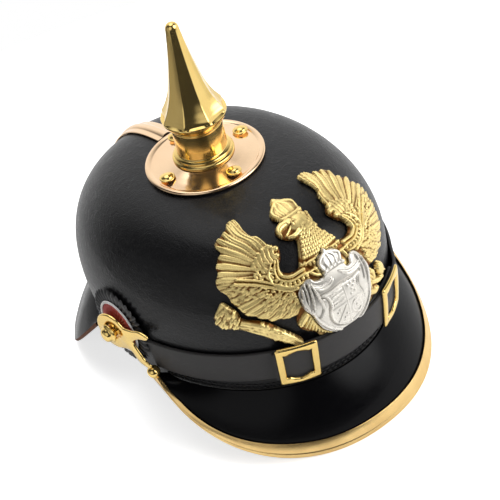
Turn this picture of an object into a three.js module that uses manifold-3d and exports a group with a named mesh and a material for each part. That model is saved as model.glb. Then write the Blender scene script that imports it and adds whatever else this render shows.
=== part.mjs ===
// Spiked parade helmet: a leather skull with a front and a rear peak, brass fittings,
// a stamped eagle badge with a silver shield, side cockades and a buckled chin strap.
// Millimetres, +Z up. The front faces -Y. The origin is on the floor under the spike.
import * as THREE from 'three';
import { mergeVertices } from 'three/addons/utils/BufferGeometryUtils.js';
import Module from 'manifold-3d';

const wasm = await Module();
wasm.setup();

// ---------------------------------------------------------------- driving dimensions
const GAP = 0.3;
const RIM_HEIGHT = 34.5;
const QUARTER = Math.PI / 2;
const HALF = Math.PI;
const TURN = 2 * Math.PI;

const SKULL = {
  halfWidth: 86, frontReach: 109.3, backReach: 113.4, centreY: -3, height: 108.2, wall: 2.6,
  sideRise: 3.63, frontRise: 4.52, backRise: 2.74, shoulder: 2.18, rimTaper: 0.106,
  flatStart: 88, flatDrop: 7.8, turns: 40, rows: 11,
};
const CROWN = RIM_HEIGHT + SKULL.height - SKULL.flatDrop;

const FRONT_PEAK = {
  halfWidth: 84.2, frontY: -120.8, endY: -24.5, roundness: 2.1, endHeight: 43.5, riseStart: 3.25,
  seamHeight: 5, seamTurn: 76, thickness: 2.1, bulge: 2.2, steps: 28, rows: 3,
};
const REAR_PEAK = { seamHeight: 5, seamTurn: 66, thickness: 2.4, bulge: 2.5, steps: 26, rows: 3 };
// lower edge of the rear peak, from the middle of the back round to the side
const REAR_EDGE = [
  { x: 0, y: 120, z: 0 },
  { x: 32, y: 115.3, z: 0 },
  { x: 58, y: 101, z: 0 },
  { x: 73, y: 82, z: 2 },
  { x: 79.5, y: 65, z: 15 },
  { x: 80, y: 51, z: 28 },
  { x: 77, y: 40, z: 39 },
];
const PEAK_BULGE_LENGTH = 30;
const TRIM = { wall: 0.6, topLeg: 9.5, lowerLeg: 5, lip: 1.5, clear: 0.58, share: 0.6 };
const TRIM_RIVET = { radius: 3.4, height: 3, foot: 0.5, along: 1, in: 0, sides: 10 };

const BASE = { radius: 34.2, rim: 1.1, rise: 2.2, plate: 1.2, sides: 30 };
const STUD = { circle: 26.8, radius: 3.9, flange: 0.8, height: 3.4, sides: 10 };
const NECK = { footRadius: 17.8, beadRadius: 16.4, radius: 14.5, height: 21.4, sides: 26 };
const SPIKE = {
  radius: 18.7, height: 65.4, footHeight: 8, flutes: 8, fluteDepth: 0.14, lip: 2.6, swell: 1.6,
  ridgeTurn: -8.6,
};
// distance below the tip and radius over the ridges, as shares of the fluted length and the flare
const SPIKE_PROFILE = [
  { down: 0, radius: 0.0 },
  { down: 0.022, radius: 0.13 },
  { down: 0.08, radius: 0.2 },
  { down: 0.3, radius: 0.3 },
  { down: 0.52, radius: 0.45 },
  { down: 0.75, radius: 0.61 },
  { down: 0.89, radius: 0.78 },
  { down: 1, radius: 1.0 },
];
const SPINE = {
  width: 13, plate: 1, ribWidth: 5.5, ribHeight: 1.4, start: 35.5, steps: 22, lift: 0.4,
  endShare: 0.13, overPeak: [0.8, 0.55, 0.3, 0.08],
};

const STRAP = {
  bottom: 15.5, width: 21.5, rise: 2.5, thickness: 1.9, lift: 0.6, endTurn: 77, steps: 26,
  sideDrop: 2.5, overlapTurn: 32, settleFrom: 33, settleTo: 46, seat: 12, wallClear: 2,
};
const BUCKLE = {
  turn: 23.4, width: 26, height: 28, bar: 4.6, corner: 1.5, bow: 1.6, thickness: 1.6, lift: 0.35,
  turnsPerMm: 0.57,
};
const COCKADE = {
  radius: 26, teeth: 36, toothDepth: 2.2, thickness: 1.2, lift: 0.9, whiteRadius: 18, redRadius: 16,
  hole: 4.2, holeSteps: 20, whiteThickness: 0.7, redThickness: 0.9,
};
const SIDE = {
  height: 34, ring: 11.8, plate: 1.5, plateLift: 6.6, lean: 9.5, post: 3.6, collar: 5.6, nut: 6,
  nutHeight: 4, nutClear: 1.2, ringSteps: 13, ringFrom: -62, ringTo: -318, postSides: 10,
};
const BADGE = {
  x: -2.3, tilt: 39, y: -98, height: 72, lift: 1.1, plate: 1.3, facet: 13, search: 45, sink: 0.5,
  featherWidth: 4.4, featherHeight: 1.5, covertHeight: 2, tailFeathers: 4, breast: 3,
};
const SCEPTRE = { x: -55, y: 8, lobe: 3.8, lobes: 5, endX: -30, endY: -27 };
const SHIELD = {
  x: -2.5, lift: 2.4, mantle: 1.3, field: 0.9, bar: 1.2, folds: 3, drape: 2.4, drapeHeight: 1.1,
  crownX: 5.2, crownY: 3, crownZ: 2.8, crownBase: 0.2, beads: 5, seatMargin: 1.05,
};

// ---------------------------------------------------------------- mesh helpers
const vec = (x, y, z) => new THREE.Vector3(x, y, z);
const radians = THREE.MathUtils.degToRad;
const mix = THREE.MathUtils.lerp;

function signedVolume(points, faces) {
  let volume = 0;
  for (const [a, b, c] of faces) {
    volume += points[a].dot(points[b].clone().cross(points[c])) / 6;
  }
  return volume;
}

// A closed body from points and triangles, turned so that its faces point outwards.
function body(points, faces) {
  const flip = signedVolume(points, faces) < 0;
  const geometry = new THREE.BufferGeometry();
  const numbers = points.flatMap((p) => p.toArray());
  geometry.setAttribute('position', new THREE.Float32BufferAttribute(numbers, 3));
  geometry.setIndex(faces.flatMap(([a, b, c]) => (flip ? [a, c, b] : [a, b, c])));
  return geometry;
}

// A wall between two grids of points of the same size.
function wall(outer, inner) {
  const rows = outer.length;
  const columns = outer[0].length;
  const points = [...outer.flat(), ...inner.flat()];
  const faces = [];
  const at = (side, row, column) => side * rows * columns + row * columns + column;
  const quad = (a, b, c, d) => faces.push([a, b, c], [a, c, d]);
  for (let r = 0; r < rows - 1; r += 1) {
    for (let c = 0; c < columns - 1; c += 1) {
      quad(at(0, r, c), at(0, r, c + 1), at(0, r + 1, c + 1), at(0, r + 1, c));
      quad(at(1, r, c), at(1, r + 1, c), at(1, r + 1, c + 1), at(1, r, c + 1));
    }
  }
  const last = columns - 1;
  for (let r = 0; r < rows - 1; r += 1) {
    quad(at(0, r, 0), at(0, r + 1, 0), at(1, r + 1, 0), at(1, r, 0));
    quad(at(0, r + 1, last), at(0, r, last), at(1, r, last), at(1, r + 1, last));
  }
  for (let c = 0; c < columns - 1; c += 1) {
    quad(at(0, 0, c + 1), at(0, 0, c), at(1, 0, c), at(1, 0, c + 1));
    quad(at(0, rows - 1, c), at(0, rows - 1, c + 1), at(1, rows - 1, c + 1), at(1, rows - 1, c));
  }
  return body(points, faces);
}

// Closed rings of points joined in order. A ring of one point closes that end as a pole.
function rings(list) {
  const points = list.flat();
  const faces = [];
  let start = 0;
  for (let i = 0; i < list.length - 1; i += 1) {
    const size = list[i].length;
    const next = list[i + 1].length;
    const after = start + size;
    const count = Math.max(size, next);
    for (let k = 0; k < count; k += 1) {
      const a = start + (k % size);
      const b = start + ((k + 1) % size);
      const c = after + (k % next);
      const d = after + ((k + 1) % next);
      if (size > 1) faces.push([a, b, c]);
      if (next > 1) faces.push([b, d, c]);
    }
    if (size === 1) {
      faces.splice(faces.length - count, count);
      for (let k = 0; k < next; k += 1) faces.push([start, after + ((k + 1) % next), after + k]);
    }
    start = after;
  }
  return body(points, faces);
}

// An outline carried along stations; place(point, station) gives the point in space.
function sweep(outline, stations, place) {
  const size = outline.length;
  const points = stations.flatMap((station) => outline.map((p) => place(p, station)));
  const faces = [];
  for (let i = 0; i < stations.length - 1; i += 1) {
    for (let k = 0; k < size; k += 1) {
      const a = i * size + k;
      const b = i * size + ((k + 1) % size);
      faces.push([a, b, b + size], [a, b + size, a + size]);
    }
  }
  const cap = THREE.ShapeUtils.triangulateShape(outline, []);
  const last = (stations.length - 1) * size;
  const capTurn = THREE.ShapeUtils.isClockWise(outline) ? -1 : 1;
  for (const [a, b, c] of cap) {
    faces.push(capTurn > 0 ? [a, c, b] : [a, b, c]);
    faces.push(capTurn > 0 ? [last + a, last + b, last + c] : [last + a, last + c, last + b]);
  }
  return body(points, faces);
}

function lathe(profile, segments) {
  const points = profile.map(([radius, z]) => new THREE.Vector2(radius, z));
  return new THREE.LatheGeometry(points, segments).rotateX(QUARTER);
}

function toManifold(geometry) {
  const bare = geometry.clone();
  bare.deleteAttribute('normal');
  bare.deleteAttribute('uv');
  const merged = mergeVertices(bare, 1e-4);
  return new wasm.Manifold(new wasm.Mesh({
    numProp: 3,
    vertProperties: new Float32Array(merged.attributes.position.array),
    triVerts: new Uint32Array(merged.index.array),
  }));
}

function fromManifold(solid) {
  const mesh = solid.getMesh();
  const geometry = new THREE.BufferGeometry();
  geometry.setAttribute('position', new THREE.Float32BufferAttribute(mesh.vertProperties, 3));
  geometry.setIndex([...mesh.triVerts]);
  return geometry;
}

const joined = (geometries) => geometries.map(toManifold).reduce((all, next) => all.add(next));

// Moves every point of a geometry by a rule.
function warp(geometry, rule) {
  const position = geometry.attributes.position;
  const point = new THREE.Vector3();
  for (let i = 0; i < position.count; i += 1) {
    const moved = rule(point.fromBufferAttribute(position, i));
    position.setXYZ(i, moved.x, moved.y, moved.z);
  }
  position.needsUpdate = true;
  return geometry;
}

function mirrored(geometry) {
  const copy = geometry.index ? geometry.toNonIndexed() : geometry.clone();
  copy.scale(-1, 1, 1);
  const position = copy.attributes.position;
  const a = new THREE.Vector3();
  const b = new THREE.Vector3();
  for (let i = 0; i < position.count; i += 3) {
    a.fromBufferAttribute(position, i + 1);
    b.fromBufferAttribute(position, i + 2);
    position.setXYZ(i + 1, b.x, b.y, b.z);
    position.setXYZ(i + 2, a.x, a.y, a.z);
  }
  copy.deleteAttribute('normal');
  copy.deleteAttribute('uv');
  return mergeVertices(copy, 1e-4);
}

// ---------------------------------------------------------------- the skull's surface
// Half sizes of the level section at a share of the full height.
function section(share) {
  const spread = (rise) => (1 - share ** rise) ** (1 / SKULL.shoulder);
  const taper = 1 - SKULL.rimTaper * (1 - share) ** 2;
  return {
    side: SKULL.halfWidth * spread(SKULL.sideRise) * taper,
    front: SKULL.frontReach * spread(SKULL.frontRise) * taper,
    back: SKULL.backReach * spread(SKULL.backRise) * taper,
  };
}

const FLAT_RATE = SKULL.flatDrop / (SKULL.height - SKULL.flatStart) ** 2;

// The crown is pressed flatter under the spike's base.
function flattened(height) {
  return height - FLAT_RATE * Math.max(0, height - SKULL.flatStart) ** 2;
}

function shareAt(height) {
  if (height <= SKULL.flatStart) return height / SKULL.height;
  const over = Math.max(0, 1 - 4 * FLAT_RATE * (height - SKULL.flatStart));
  return (SKULL.flatStart + (1 - Math.sqrt(over)) / (2 * FLAT_RATE)) / SKULL.height;
}

// A point of the outer skin. turn is 0 at the front and 90 degrees at +X.
function skin(turn, share) {
  const { side, front, back } = section(Math.min(1, share));
  const reach = Math.cos(turn) > 0 ? front : back;
  const height = RIM_HEIGHT + flattened(share * SKULL.height);
  return vec(side * Math.sin(turn), SKULL.centreY - reach * Math.cos(turn), height);
}

function skinNormal(turn, share) {
  const step = 0.002;
  const low = Math.max(0, share - step);
  const high = Math.min(0.999, share + step);
  const along = skin(turn + step, share).sub(skin(turn - step, share));
  const up = skin(turn, high).sub(skin(turn, low));
  return along.cross(up).normalize();
}

// A point over the skin at a height above the rim, lifted along the normal.
function onSkull(turnDegrees, height, lift) {
  const turn = radians(turnDegrees);
  const share = shareAt(height);
  return skin(turn, share).addScaledVector(skinNormal(turn, share), lift);
}

// Below zero inside the skin, above zero outside.
function outside(point) {
  const height = point.z - RIM_HEIGHT;
  if (height >= CROWN - RIM_HEIGHT) return 1;
  const { side, front, back } = section(shareAt(Math.max(0, height)));
  const y = point.y - SKULL.centreY;
  return (point.x / side) ** 2 + (y / (y < 0 ? front : back)) ** 2 - 1;
}

function surfaceNormal(point) {
  const step = 0.05;
  const slope = (axis) => {
    const ahead = point.clone().addScaledVector(axis, step);
    const behind = point.clone().addScaledVector(axis, -step);
    return outside(ahead) - outside(behind);
  };
  return vec(slope(vec(1, 0, 0)), slope(vec(0, 1, 0)), slope(vec(0, 0, 1))).normalize();
}

// ---------------------------------------------------------------- leather body
function skullShell() {
  const pole = 0.02;
  const ring = (row, lift) => {
    const share = Math.sin((row / SKULL.rows) * QUARTER);
    return Array.from({ length: SKULL.turns }, (_, k) => {
      const turn = (k / SKULL.turns) * TURN;
      return skin(turn, share).addScaledVector(skinNormal(turn, Math.max(pole, share)), lift);
    });
  };
  const rows = Array.from({ length: SKULL.rows }, (_, row) => row);
  const top = vec(0, SKULL.centreY, CROWN);
  const inside = vec(0, SKULL.centreY, CROWN - SKULL.wall);
  const inner = rows.map((row) => ring(row, -SKULL.wall)).reverse();
  inner[inner.length - 1].forEach((point) => { point.z = RIM_HEIGHT; });
  const outer = rows.map((row) => ring(row, 0));
  return rings([[inside], ...inner, ...outer, [top]]);
}

// Lower edge of the front peak. along runs from -1 at one end to 1 at the other.
function frontEdge(along) {
  const angle = along * QUARTER;
  const power = 2 / FRONT_PEAK.roundness;
  const sideways = Math.sign(angle) * Math.abs(Math.sin(angle)) ** power;
  const forward = Math.abs(Math.cos(angle)) ** power;
  return vec(
    FRONT_PEAK.halfWidth * sideways,
    mix(FRONT_PEAK.endY, FRONT_PEAK.frontY, forward),
    FRONT_PEAK.endHeight * Math.abs(along) ** FRONT_PEAK.riseStart,
  );
}

const rearRight = REAR_EDGE.map(({ x, y, z }) => vec(x, y, z));
const rearLeft = REAR_EDGE.slice(1).reverse().map(({ x, y, z }) => vec(-x, y, z));
const rearHalf = new THREE.CatmullRomCurve3([...rearLeft, ...rearRight], false, 'centripetal');

function rearEdge(along) {
  const point = rearHalf.getPoint((along + 1) / 2);
  point.z = Math.max(0, point.z);
  return point;
}

// The local frame of a peak at one place along it: seam, edge, normal and how far it bulges.
function peakFrame(size, seam, edge, along) {
  const step = 0.01;
  const start = seam(along);
  const end = edge(along);
  const sideways = edge(Math.min(1, along + step)).sub(edge(Math.max(-1, along - step)));
  const down = end.clone().sub(start);
  const normal = sideways.cross(down).normalize();
  if (normal.z < 0) normal.negate();
  const length = down.length();
  return { start, end, normal, length, bulge: size.bulge * Math.min(1, length / PEAK_BULGE_LENGTH) };
}

// A point over a peak's under face, a distance in from its lower edge.
function onPeak({ start, end, normal, length, bulge }, fromEdge, lift) {
  const share = 1 - fromEdge / length;
  const point = start.clone().lerp(end, share);
  return point.addScaledVector(normal, lift + bulge * 4 * share * (1 - share));
}

// Places along a peak from -1 to 1, closer together towards its ends.
function peakPlaces(steps) {
  return Array.from({ length: steps + 1 }, (_, i) => {
    const even = (2 * i) / steps - 1;
    return (even + Math.sin(even * QUARTER)) / 2;
  });
}

function peakShell(size, seam, edge, inset) {
  const under = [];
  const upper = [];
  for (const along of peakPlaces(size.steps)) {
    const frame = peakFrame(size, seam, edge, along);
    const places = Array.from({ length: size.rows + 1 }, (_, row) => (
      mix(frame.length, inset, row / size.rows)));
    under.push(places.map((place) => onPeak(frame, place, 0)));
    upper.push(places.map((place) => onPeak(frame, place, size.thickness)));
  }
  return wall(upper, under);
}

const frontSeam = (along) => onSkull(along * FRONT_PEAK.seamTurn, FRONT_PEAK.seamHeight, GAP);
const rearSeam = (along) => onSkull(180 - along * REAR_PEAK.seamTurn, REAR_PEAK.seamHeight, GAP);
const frontPeak = () => peakShell(FRONT_PEAK, frontSeam, frontEdge, TRIM.lip + GAP);
const rearPeak = () => peakShell(REAR_PEAK, rearSeam, rearEdge, 0);

// Brass channel over the front peak's edge.
function peakTrim() {
  const { wall: metal, topLeg, lowerLeg, lip, clear } = TRIM;
  const top = FRONT_PEAK.thickness + clear;
  const outline = [
    [topLeg, top + metal], [topLeg, top], [lip, top], [lip, -clear],
    [lowerLeg, -clear], [lowerLeg, -clear - metal], [lip * 0.6, -clear - metal], [0, 0],
    [0, top * 0.7], [lip * 0.6, top + metal],
  ].map(([x, y]) => new THREE.Vector2(x, y));
  const stations = peakPlaces(FRONT_PEAK.steps).map((along) => (
    peakFrame(FRONT_PEAK, frontSeam, frontEdge, along)));
  return sweep(outline, stations, (p, frame) => {
    const squeeze = Math.min(1, (TRIM.share * frame.length) / topLeg);
    return onPeak(frame, p.x * squeeze, p.y);
  });
}

// Domed rivet that closes each end of the edging.
function trimRivet(side) {
  const frame = peakFrame(FRONT_PEAK, frontSeam, frontEdge, side * TRIM_RIVET.along);
  const { radius, height } = TRIM_RIVET;
  const profile = Array.from({ length: 5 }, (_, i) => {
    const angle = (i / 4) * QUARTER;
    return [radius * Math.cos(angle), height * Math.sin(angle)];
  });
  const dome = lathe([[0, -TRIM_RIVET.foot], [radius, -TRIM_RIVET.foot], ...profile], TRIM_RIVET.sides);
  const lift = FRONT_PEAK.thickness + TRIM.clear + TRIM.wall + 3 * GAP + TRIM_RIVET.foot;
  const seat = onPeak(frame, frame.length * TRIM_RIVET.in, lift);
  dome.applyQuaternion(new THREE.Quaternion().setFromUnitVectors(vec(0, 0, 1), frame.normal));
  return dome.translate(seat.x, seat.y, seat.z);
}

// ---------------------------------------------------------------- spike and its base
const BASE_SEAT = CROWN + GAP;
const NECK_SEAT = BASE_SEAT + BASE.rise + BASE.plate;

function spikeBase() {
  const { radius, rim, rise, plate } = BASE;
  const z = BASE_SEAT;
  return lathe([
    [0, z], [radius - rim * 2, z], [radius - rim, z - rim * 0.4],
    [radius, z - rim * 0.4], [radius, z + rim * 0.4], [radius - rim, z + rim], [radius * 0.85, z + plate],
    [radius * 0.6, z + plate + rise * 0.7], [NECK.footRadius, NECK_SEAT], [0, NECK_SEAT],
  ], BASE.sides);
}

function baseStud(quarter) {
  const { circle, radius, flange, height } = STUD;
  const z = BASE_SEAT + BASE.plate + BASE.rise * 0.45 + GAP;
  const dome = lathe([
    [0, z], [radius, z], [radius, z + flange], [radius * 0.78, z + flange],
    [radius * 0.62, z + height * 0.7], [radius * 0.3, z + height * 0.95], [0, z + height],
  ], STUD.sides);
  const angle = quarter * QUARTER;
  return dome.translate(circle * Math.sin(angle), -circle * Math.cos(angle), 0);
}

function spikeNeck() {
  const { footRadius, beadRadius, radius, height } = NECK;
  const z = NECK_SEAT + GAP;
  return lathe([
    [0, z], [footRadius, z], [footRadius, z + 1.6], [footRadius - 1.4, z + 2.4],
    [beadRadius, z + 2.6], [beadRadius + 0.3, z + 3.5], [beadRadius - 0.7, z + 4.5],
    [radius, z + 5], [radius, z + height], [0, z + height],
  ], NECK.sides);
}

// The spike's outline is a flared cone with hollow flutes over a smooth rounded foot.
function spikePoint() {
  const { radius, height, flutes, fluteDepth, lip, swell } = SPIKE;
  const foot = NECK_SEAT + GAP + NECK.height + GAP;
  const flare = foot + SPIKE.footHeight;
  const sides = flutes * 2;
  const ring = (z, size, depth) => Array.from({ length: sides }, (_, k) => {
    const angle = radians(SPIKE.ridgeTurn) + (k / sides) * TURN;
    const reach = size * (k % 2 === 0 ? 1 : 1 - depth);
    return vec(reach * Math.sin(angle), -reach * Math.cos(angle), z);
  });
  const tip = foot + height;
  const fluted = SPIKE_PROFILE.slice(1).reverse().map(({ down, radius: share }) => (
    ring(mix(tip, flare, down), radius * share, share > 0.25 ? fluteDepth : fluteDepth / 2)));
  return rings([
    [vec(0, 0, foot)], ring(foot, NECK.radius + GAP, 0), ring(foot + lip / 2, NECK.radius + swell, 0),
    ring(flare - lip, radius - swell, 0), ...fluted, [vec(0, 0, tip)],
  ]);
}

// Brass rail down the back of the skull and over the rear peak.
function rearSpine() {
  const { width, plate, ribWidth, ribHeight, start, steps, lift } = SPINE;
  const path = [];
  const crownShare = 0.985;
  for (let i = 0; i <= steps; i += 1) {
    const share = Math.sin(mix(Math.asin(crownShare), Math.asin(SPINE.endShare), i / steps));
    path.push(skin(HALF, share));
  }
  const frame = peakFrame(REAR_PEAK, rearSeam, rearEdge, 0);
  for (const inwards of SPINE.overPeak) {
    path.push(onPeak(frame, frame.length * inwards, REAR_PEAK.thickness));
  }
  const stations = path.filter((point) => point.y > start).map((point, i, list) => {
    const ahead = list[Math.min(list.length - 1, i + 1)];
    const behind = list[Math.max(0, i - 1)];
    const along = ahead.clone().sub(behind).normalize();
    return { point, out: vec(0, -along.z, along.y) };
  });
  const outline = [
    [-width / 2, lift], [width / 2, lift], [width / 2, lift + plate], [ribWidth / 2, lift + plate],
    [ribWidth / 2 - 0.8, lift + plate + ribHeight], [0.8 - ribWidth / 2, lift + plate + ribHeight],
    [-ribWidth / 2, lift + plate], [-width / 2, lift + plate],
  ].map(([x, y]) => new THREE.Vector2(x, y));
  return sweep(outline, stations, (p, { point, out }) => (
    point.clone().add(vec(p.x, 0, 0)).addScaledVector(out, p.y)));
}

// ---------------------------------------------------------------- chin strap
// Height of the strap's lower edge over the rim, lowest beside the ears.
function strapHeight(turn) {
  const front = Math.cos(radians(turn)) ** 2;
  const side = Math.sin(radians(turn)) ** 2;
  return STRAP.bottom + STRAP.rise * front - STRAP.sideDrop * side;
}

// A length of strap on the skull between two turns. It settles on the leather past the overlap.
function strapLength(from, to, layer) {
  const steps = Math.ceil((STRAP.steps * Math.abs(to - from)) / (2 * STRAP.endTurn));
  const inner = [];
  const outer = [];
  for (let i = 0; i <= steps; i += 1) {
    const turn = mix(from, to, i / steps);
    const over = 1 - THREE.MathUtils.smoothstep(turn, STRAP.settleFrom, STRAP.settleTo);
    const lift = STRAP.lift + layer * over * (STRAP.thickness + GAP);
    const low = strapHeight(turn);
    const at = (height, extra) => onSkull(turn, height, lift + extra);
    const heights = [low, low + STRAP.width];
    inner.push(heights.map((height) => at(height, 0)));
    outer.push(heights.map((height) => at(height, STRAP.thickness)));
  }
  return wall(outer, inner);
}

// Room for the strap across the foot of the badge.
function strapSeat() {
  const turns = Array.from({ length: STRAP.steps + 1 }, (_, i) => (
    mix(-STRAP.overlapTurn, STRAP.overlapTurn, i / STRAP.steps)));
  const side = (lift) => turns.map((turn) => {
    const top = strapHeight(turn) + STRAP.width + GAP;
    return [top - STRAP.seat, top].map((height) => onSkull(turn, height, lift));
  });
  return wall(side(STRAP.seat), side(-STRAP.wallClear));
}

// Points around a rectangle with a rectangular window, wrapped on the strap.
function buckle(side) {
  const { turn, width, height, bar, thickness, turnsPerMm } = BUCKLE;
  const halfWidth = width / 2;
  const halfHeight = height / 2;
  const frame = new THREE.Shape();
  const corner = BUCKLE.corner;
  frame.moveTo(-halfWidth + corner, -halfHeight);
  frame.lineTo(0, -halfHeight);
  frame.lineTo(halfWidth - corner, -halfHeight);
  frame.lineTo(halfWidth, -halfHeight + corner);
  frame.lineTo(halfWidth, halfHeight - corner);
  frame.lineTo(halfWidth - corner, halfHeight);
  frame.lineTo(0, halfHeight);
  frame.lineTo(-halfWidth + corner, halfHeight);
  frame.lineTo(-halfWidth, halfHeight - corner);
  frame.lineTo(-halfWidth, -halfHeight + corner);
  const window = new THREE.Path();
  const x = halfWidth - bar;
  const y = halfHeight - bar;
  window.moveTo(-x, -y);
  window.lineTo(-x, y);
  window.lineTo(0, y + BUCKLE.bow);
  window.lineTo(x, y);
  window.lineTo(x, -y);
  window.lineTo(0, -y - BUCKLE.bow);
  frame.holes.push(window);
  const solid = new THREE.ExtrudeGeometry(frame, { depth: thickness, bevelEnabled: false });
  const centre = strapHeight(turn) + STRAP.width / 2;
  const lift = STRAP.lift + 2 * (STRAP.thickness + GAP) + BUCKLE.lift;
  return warp(solid, (p) => onSkull(side * turn + p.x * turnsPerMm, centre + p.y, lift + p.z));
}

// ---------------------------------------------------------------- side fittings
// Plane of the left side fittings: x towards the face, y up, z out of the skull.
function sidePlane(lift, lean) {
  const turn = -90;
  const height = SIDE.height;
  const seat = onSkull(turn, height, 0);
  const normal = skinNormal(radians(turn), shareAt(height));
  normal.z = 0;
  normal.normalize();
  seat.addScaledVector(normal, lift);
  normal.applyAxisAngle(vec(0, 0, 1), radians(lean));
  const up = vec(0, 0, 1);
  const forward = up.clone().cross(normal);
  return new THREE.Matrix4().makeBasis(forward, up, normal).setPosition(seat);
}

function circlePath(radius, count) {
  return new THREE.Path(Array.from({ length: count }, (_, k) => {
    const angle = (-k / count) * TURN;
    return new THREE.Vector2(radius * Math.cos(angle), radius * Math.sin(angle));
  }));
}

const outlineShape = (points) => new THREE.Shape(points.map(({ x, y }) => new THREE.Vector2(x, y)));

function extruded(shape, depth) {
  return new THREE.ExtrudeGeometry(shape, { depth, bevelEnabled: false, curveSegments: 6 });
}

// A flat ring in the cockade's plane. reach gives the outer radius at each corner.
function cockadeRing(reach, inner, lift, thickness, count) {
  const shape = outlineShape(Array.from({ length: count }, (_, k) => {
    const angle = (k / count) * TURN;
    return { x: reach(k) * Math.cos(angle), y: reach(k) * Math.sin(angle) };
  }));
  shape.holes.push(circlePath(inner, Math.min(count, COCKADE.holeSteps)));
  return extruded(shape, thickness).applyMatrix4(sidePlane(lift, 0));
}

function cockadeDisc() {
  const { radius, toothDepth, teeth, hole, lift, thickness } = COCKADE;
  const zigzag = (k) => radius - (k % 2) * toothDepth;
  return cockadeRing(zigzag, hole, lift, thickness, teeth * 2);
}

const cockadeTop = COCKADE.lift + COCKADE.thickness + GAP;

function cockadeWhite() {
  const { whiteRadius, redRadius, whiteThickness } = COCKADE;
  return cockadeRing(() => whiteRadius, redRadius + GAP, cockadeTop, whiteThickness, 24);
}

function cockadeRed() {
  const { redRadius, hole, redThickness } = COCKADE;
  return cockadeRing(() => redRadius, hole, cockadeTop, redThickness, 24);
}

// Post through the cockade: a collar under the fitting and a domed nut over it.
function sidePost() {
  const { post, collar, nut, nutHeight, plateLift, plate } = SIDE;
  const rest = COCKADE.lift + COCKADE.thickness + COCKADE.redThickness + 2 * GAP;
  const seat = plateLift + plate + SIDE.nutClear;
  const shape = lathe([
    [0, GAP], [post, GAP], [post, rest], [collar, rest], [collar, plateLift - SIDE.nutClear],
    [post, plateLift - SIDE.nutClear], [post, seat], [nut, seat], [nut, seat + 1.2],
    [nut * 0.75, seat + 2], [nut * 0.6, seat + nutHeight], [0, seat + nutHeight + 1],
  ], SIDE.postSides);
  return shape.applyMatrix4(sidePlane(0, 0));
}

// Prongs of the strap's fitting, from the ring's upper side round to its lower side.
const FORK_PRONGS = [
  { forward: 10.5, up: 6.6 },
  { forward: 17, up: 7.5 },
  { forward: 23, up: 9.4 },
  { forward: 29.5, up: 8.2 },
  { forward: 28.2, up: 5.2 },
  { forward: 22, up: 3.4 },
  { forward: 16.6, up: -0.4 },
  { forward: 15.8, up: -3.2 },
  { forward: 19.5, up: -9.8 },
  { forward: 21.5, up: -13 },
  { forward: 25.6, up: -15.6 },
  { forward: 23.4, up: -18.4 },
  { forward: 16.4, up: -16 },
  { forward: 12, up: -9.6 },
];

// Ring over the side post with a two-pronged fork that carries the strap's end.
function sideFork() {
  const { ring, plate, plateLift, lean, ringSteps, ringFrom, ringTo } = SIDE;
  const arc = Array.from({ length: ringSteps + 1 }, (_, i) => {
    const angle = radians(mix(ringFrom, ringTo, i / ringSteps));
    return { x: ring * Math.cos(angle), y: ring * Math.sin(angle) };
  });
  const prongs = FORK_PRONGS.map(({ forward, up }) => ({ x: forward, y: up }));
  const shape = outlineShape([...arc, ...prongs].reverse());
  shape.holes.push(circlePath(SIDE.post + 2 * GAP, 12));
  return extruded(shape, plate).applyMatrix4(sidePlane(plateLift, lean));
}

// ---------------------------------------------------------------- eagle badge
// Flat badge places: x across, y up the badge, z out of it. badgePlace lays them on the skull.
const badgeTilt = radians(BADGE.tilt);
const badgeUp = vec(0, Math.sin(badgeTilt), Math.cos(badgeTilt));
const badgeOut = vec(0, -Math.cos(badgeTilt), Math.sin(badgeTilt));

function badgePlace(flat) {
  const start = vec(flat.x, BADGE.y, RIM_HEIGHT + BADGE.height).addScaledVector(badgeUp, flat.y);
  let low = -BADGE.search;
  let high = BADGE.search;
  const point = new THREE.Vector3();
  for (let i = 0; i < 24; i += 1) {
    const middle = (low + high) / 2;
    point.copy(start).addScaledVector(badgeOut, middle);
    if (outside(point) > 0) high = middle;
    else low = middle;
  }
  return point.addScaledVector(surfaceNormal(point), BADGE.lift + flat.z);
}

// Outline of one wing, x from the badge's own middle line.
const WING = [
  { x: 11.3, y: 7 }, { x: 13.7, y: 8 }, { x: 18.2, y: 12 }, { x: 18.2, y: 18 }, { x: 16.2, y: 23.5 },
  { x: 18.7, y: 28 }, { x: 21.2, y: 33.5 }, { x: 22.5, y: 40 }, { x: 22, y: 46.5 }, { x: 28.2, y: 45.5 },
  { x: 35.2, y: 43.5 }, { x: 39.2, y: 39.5 }, { x: 42.7, y: 34.5 }, { x: 46.5, y: 29 }, { x: 49.7, y: 22 },
  { x: 49.2, y: 15 }, { x: 47.2, y: 8 }, { x: 43.7, y: 1.5 }, { x: 37.7, y: -5.5 }, { x: 31.7, y: -9.5 },
  { x: 24.7, y: -12 }, { x: 26.7, y: -17.5 }, { x: 22.7, y: -24.5 }, { x: 17.2, y: -30 },
  { x: 7.7, y: -33.5 },
];
const HEAD = [
  { x: -12, y: 14 }, { x: -10, y: 21 }, { x: -13, y: 22.5 }, { x: -15, y: 26 }, { x: -14, y: 30 },
  { x: -8, y: 32 }, { x: -11, y: 36 }, { x: -11, y: 41 }, { x: -5, y: 45 }, { x: 0, y: 44.5 },
  { x: 4, y: 41 }, { x: 5, y: 36 }, { x: 5, y: 28 }, { x: 6, y: 21 }, { x: 8, y: 14 },
];

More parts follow.
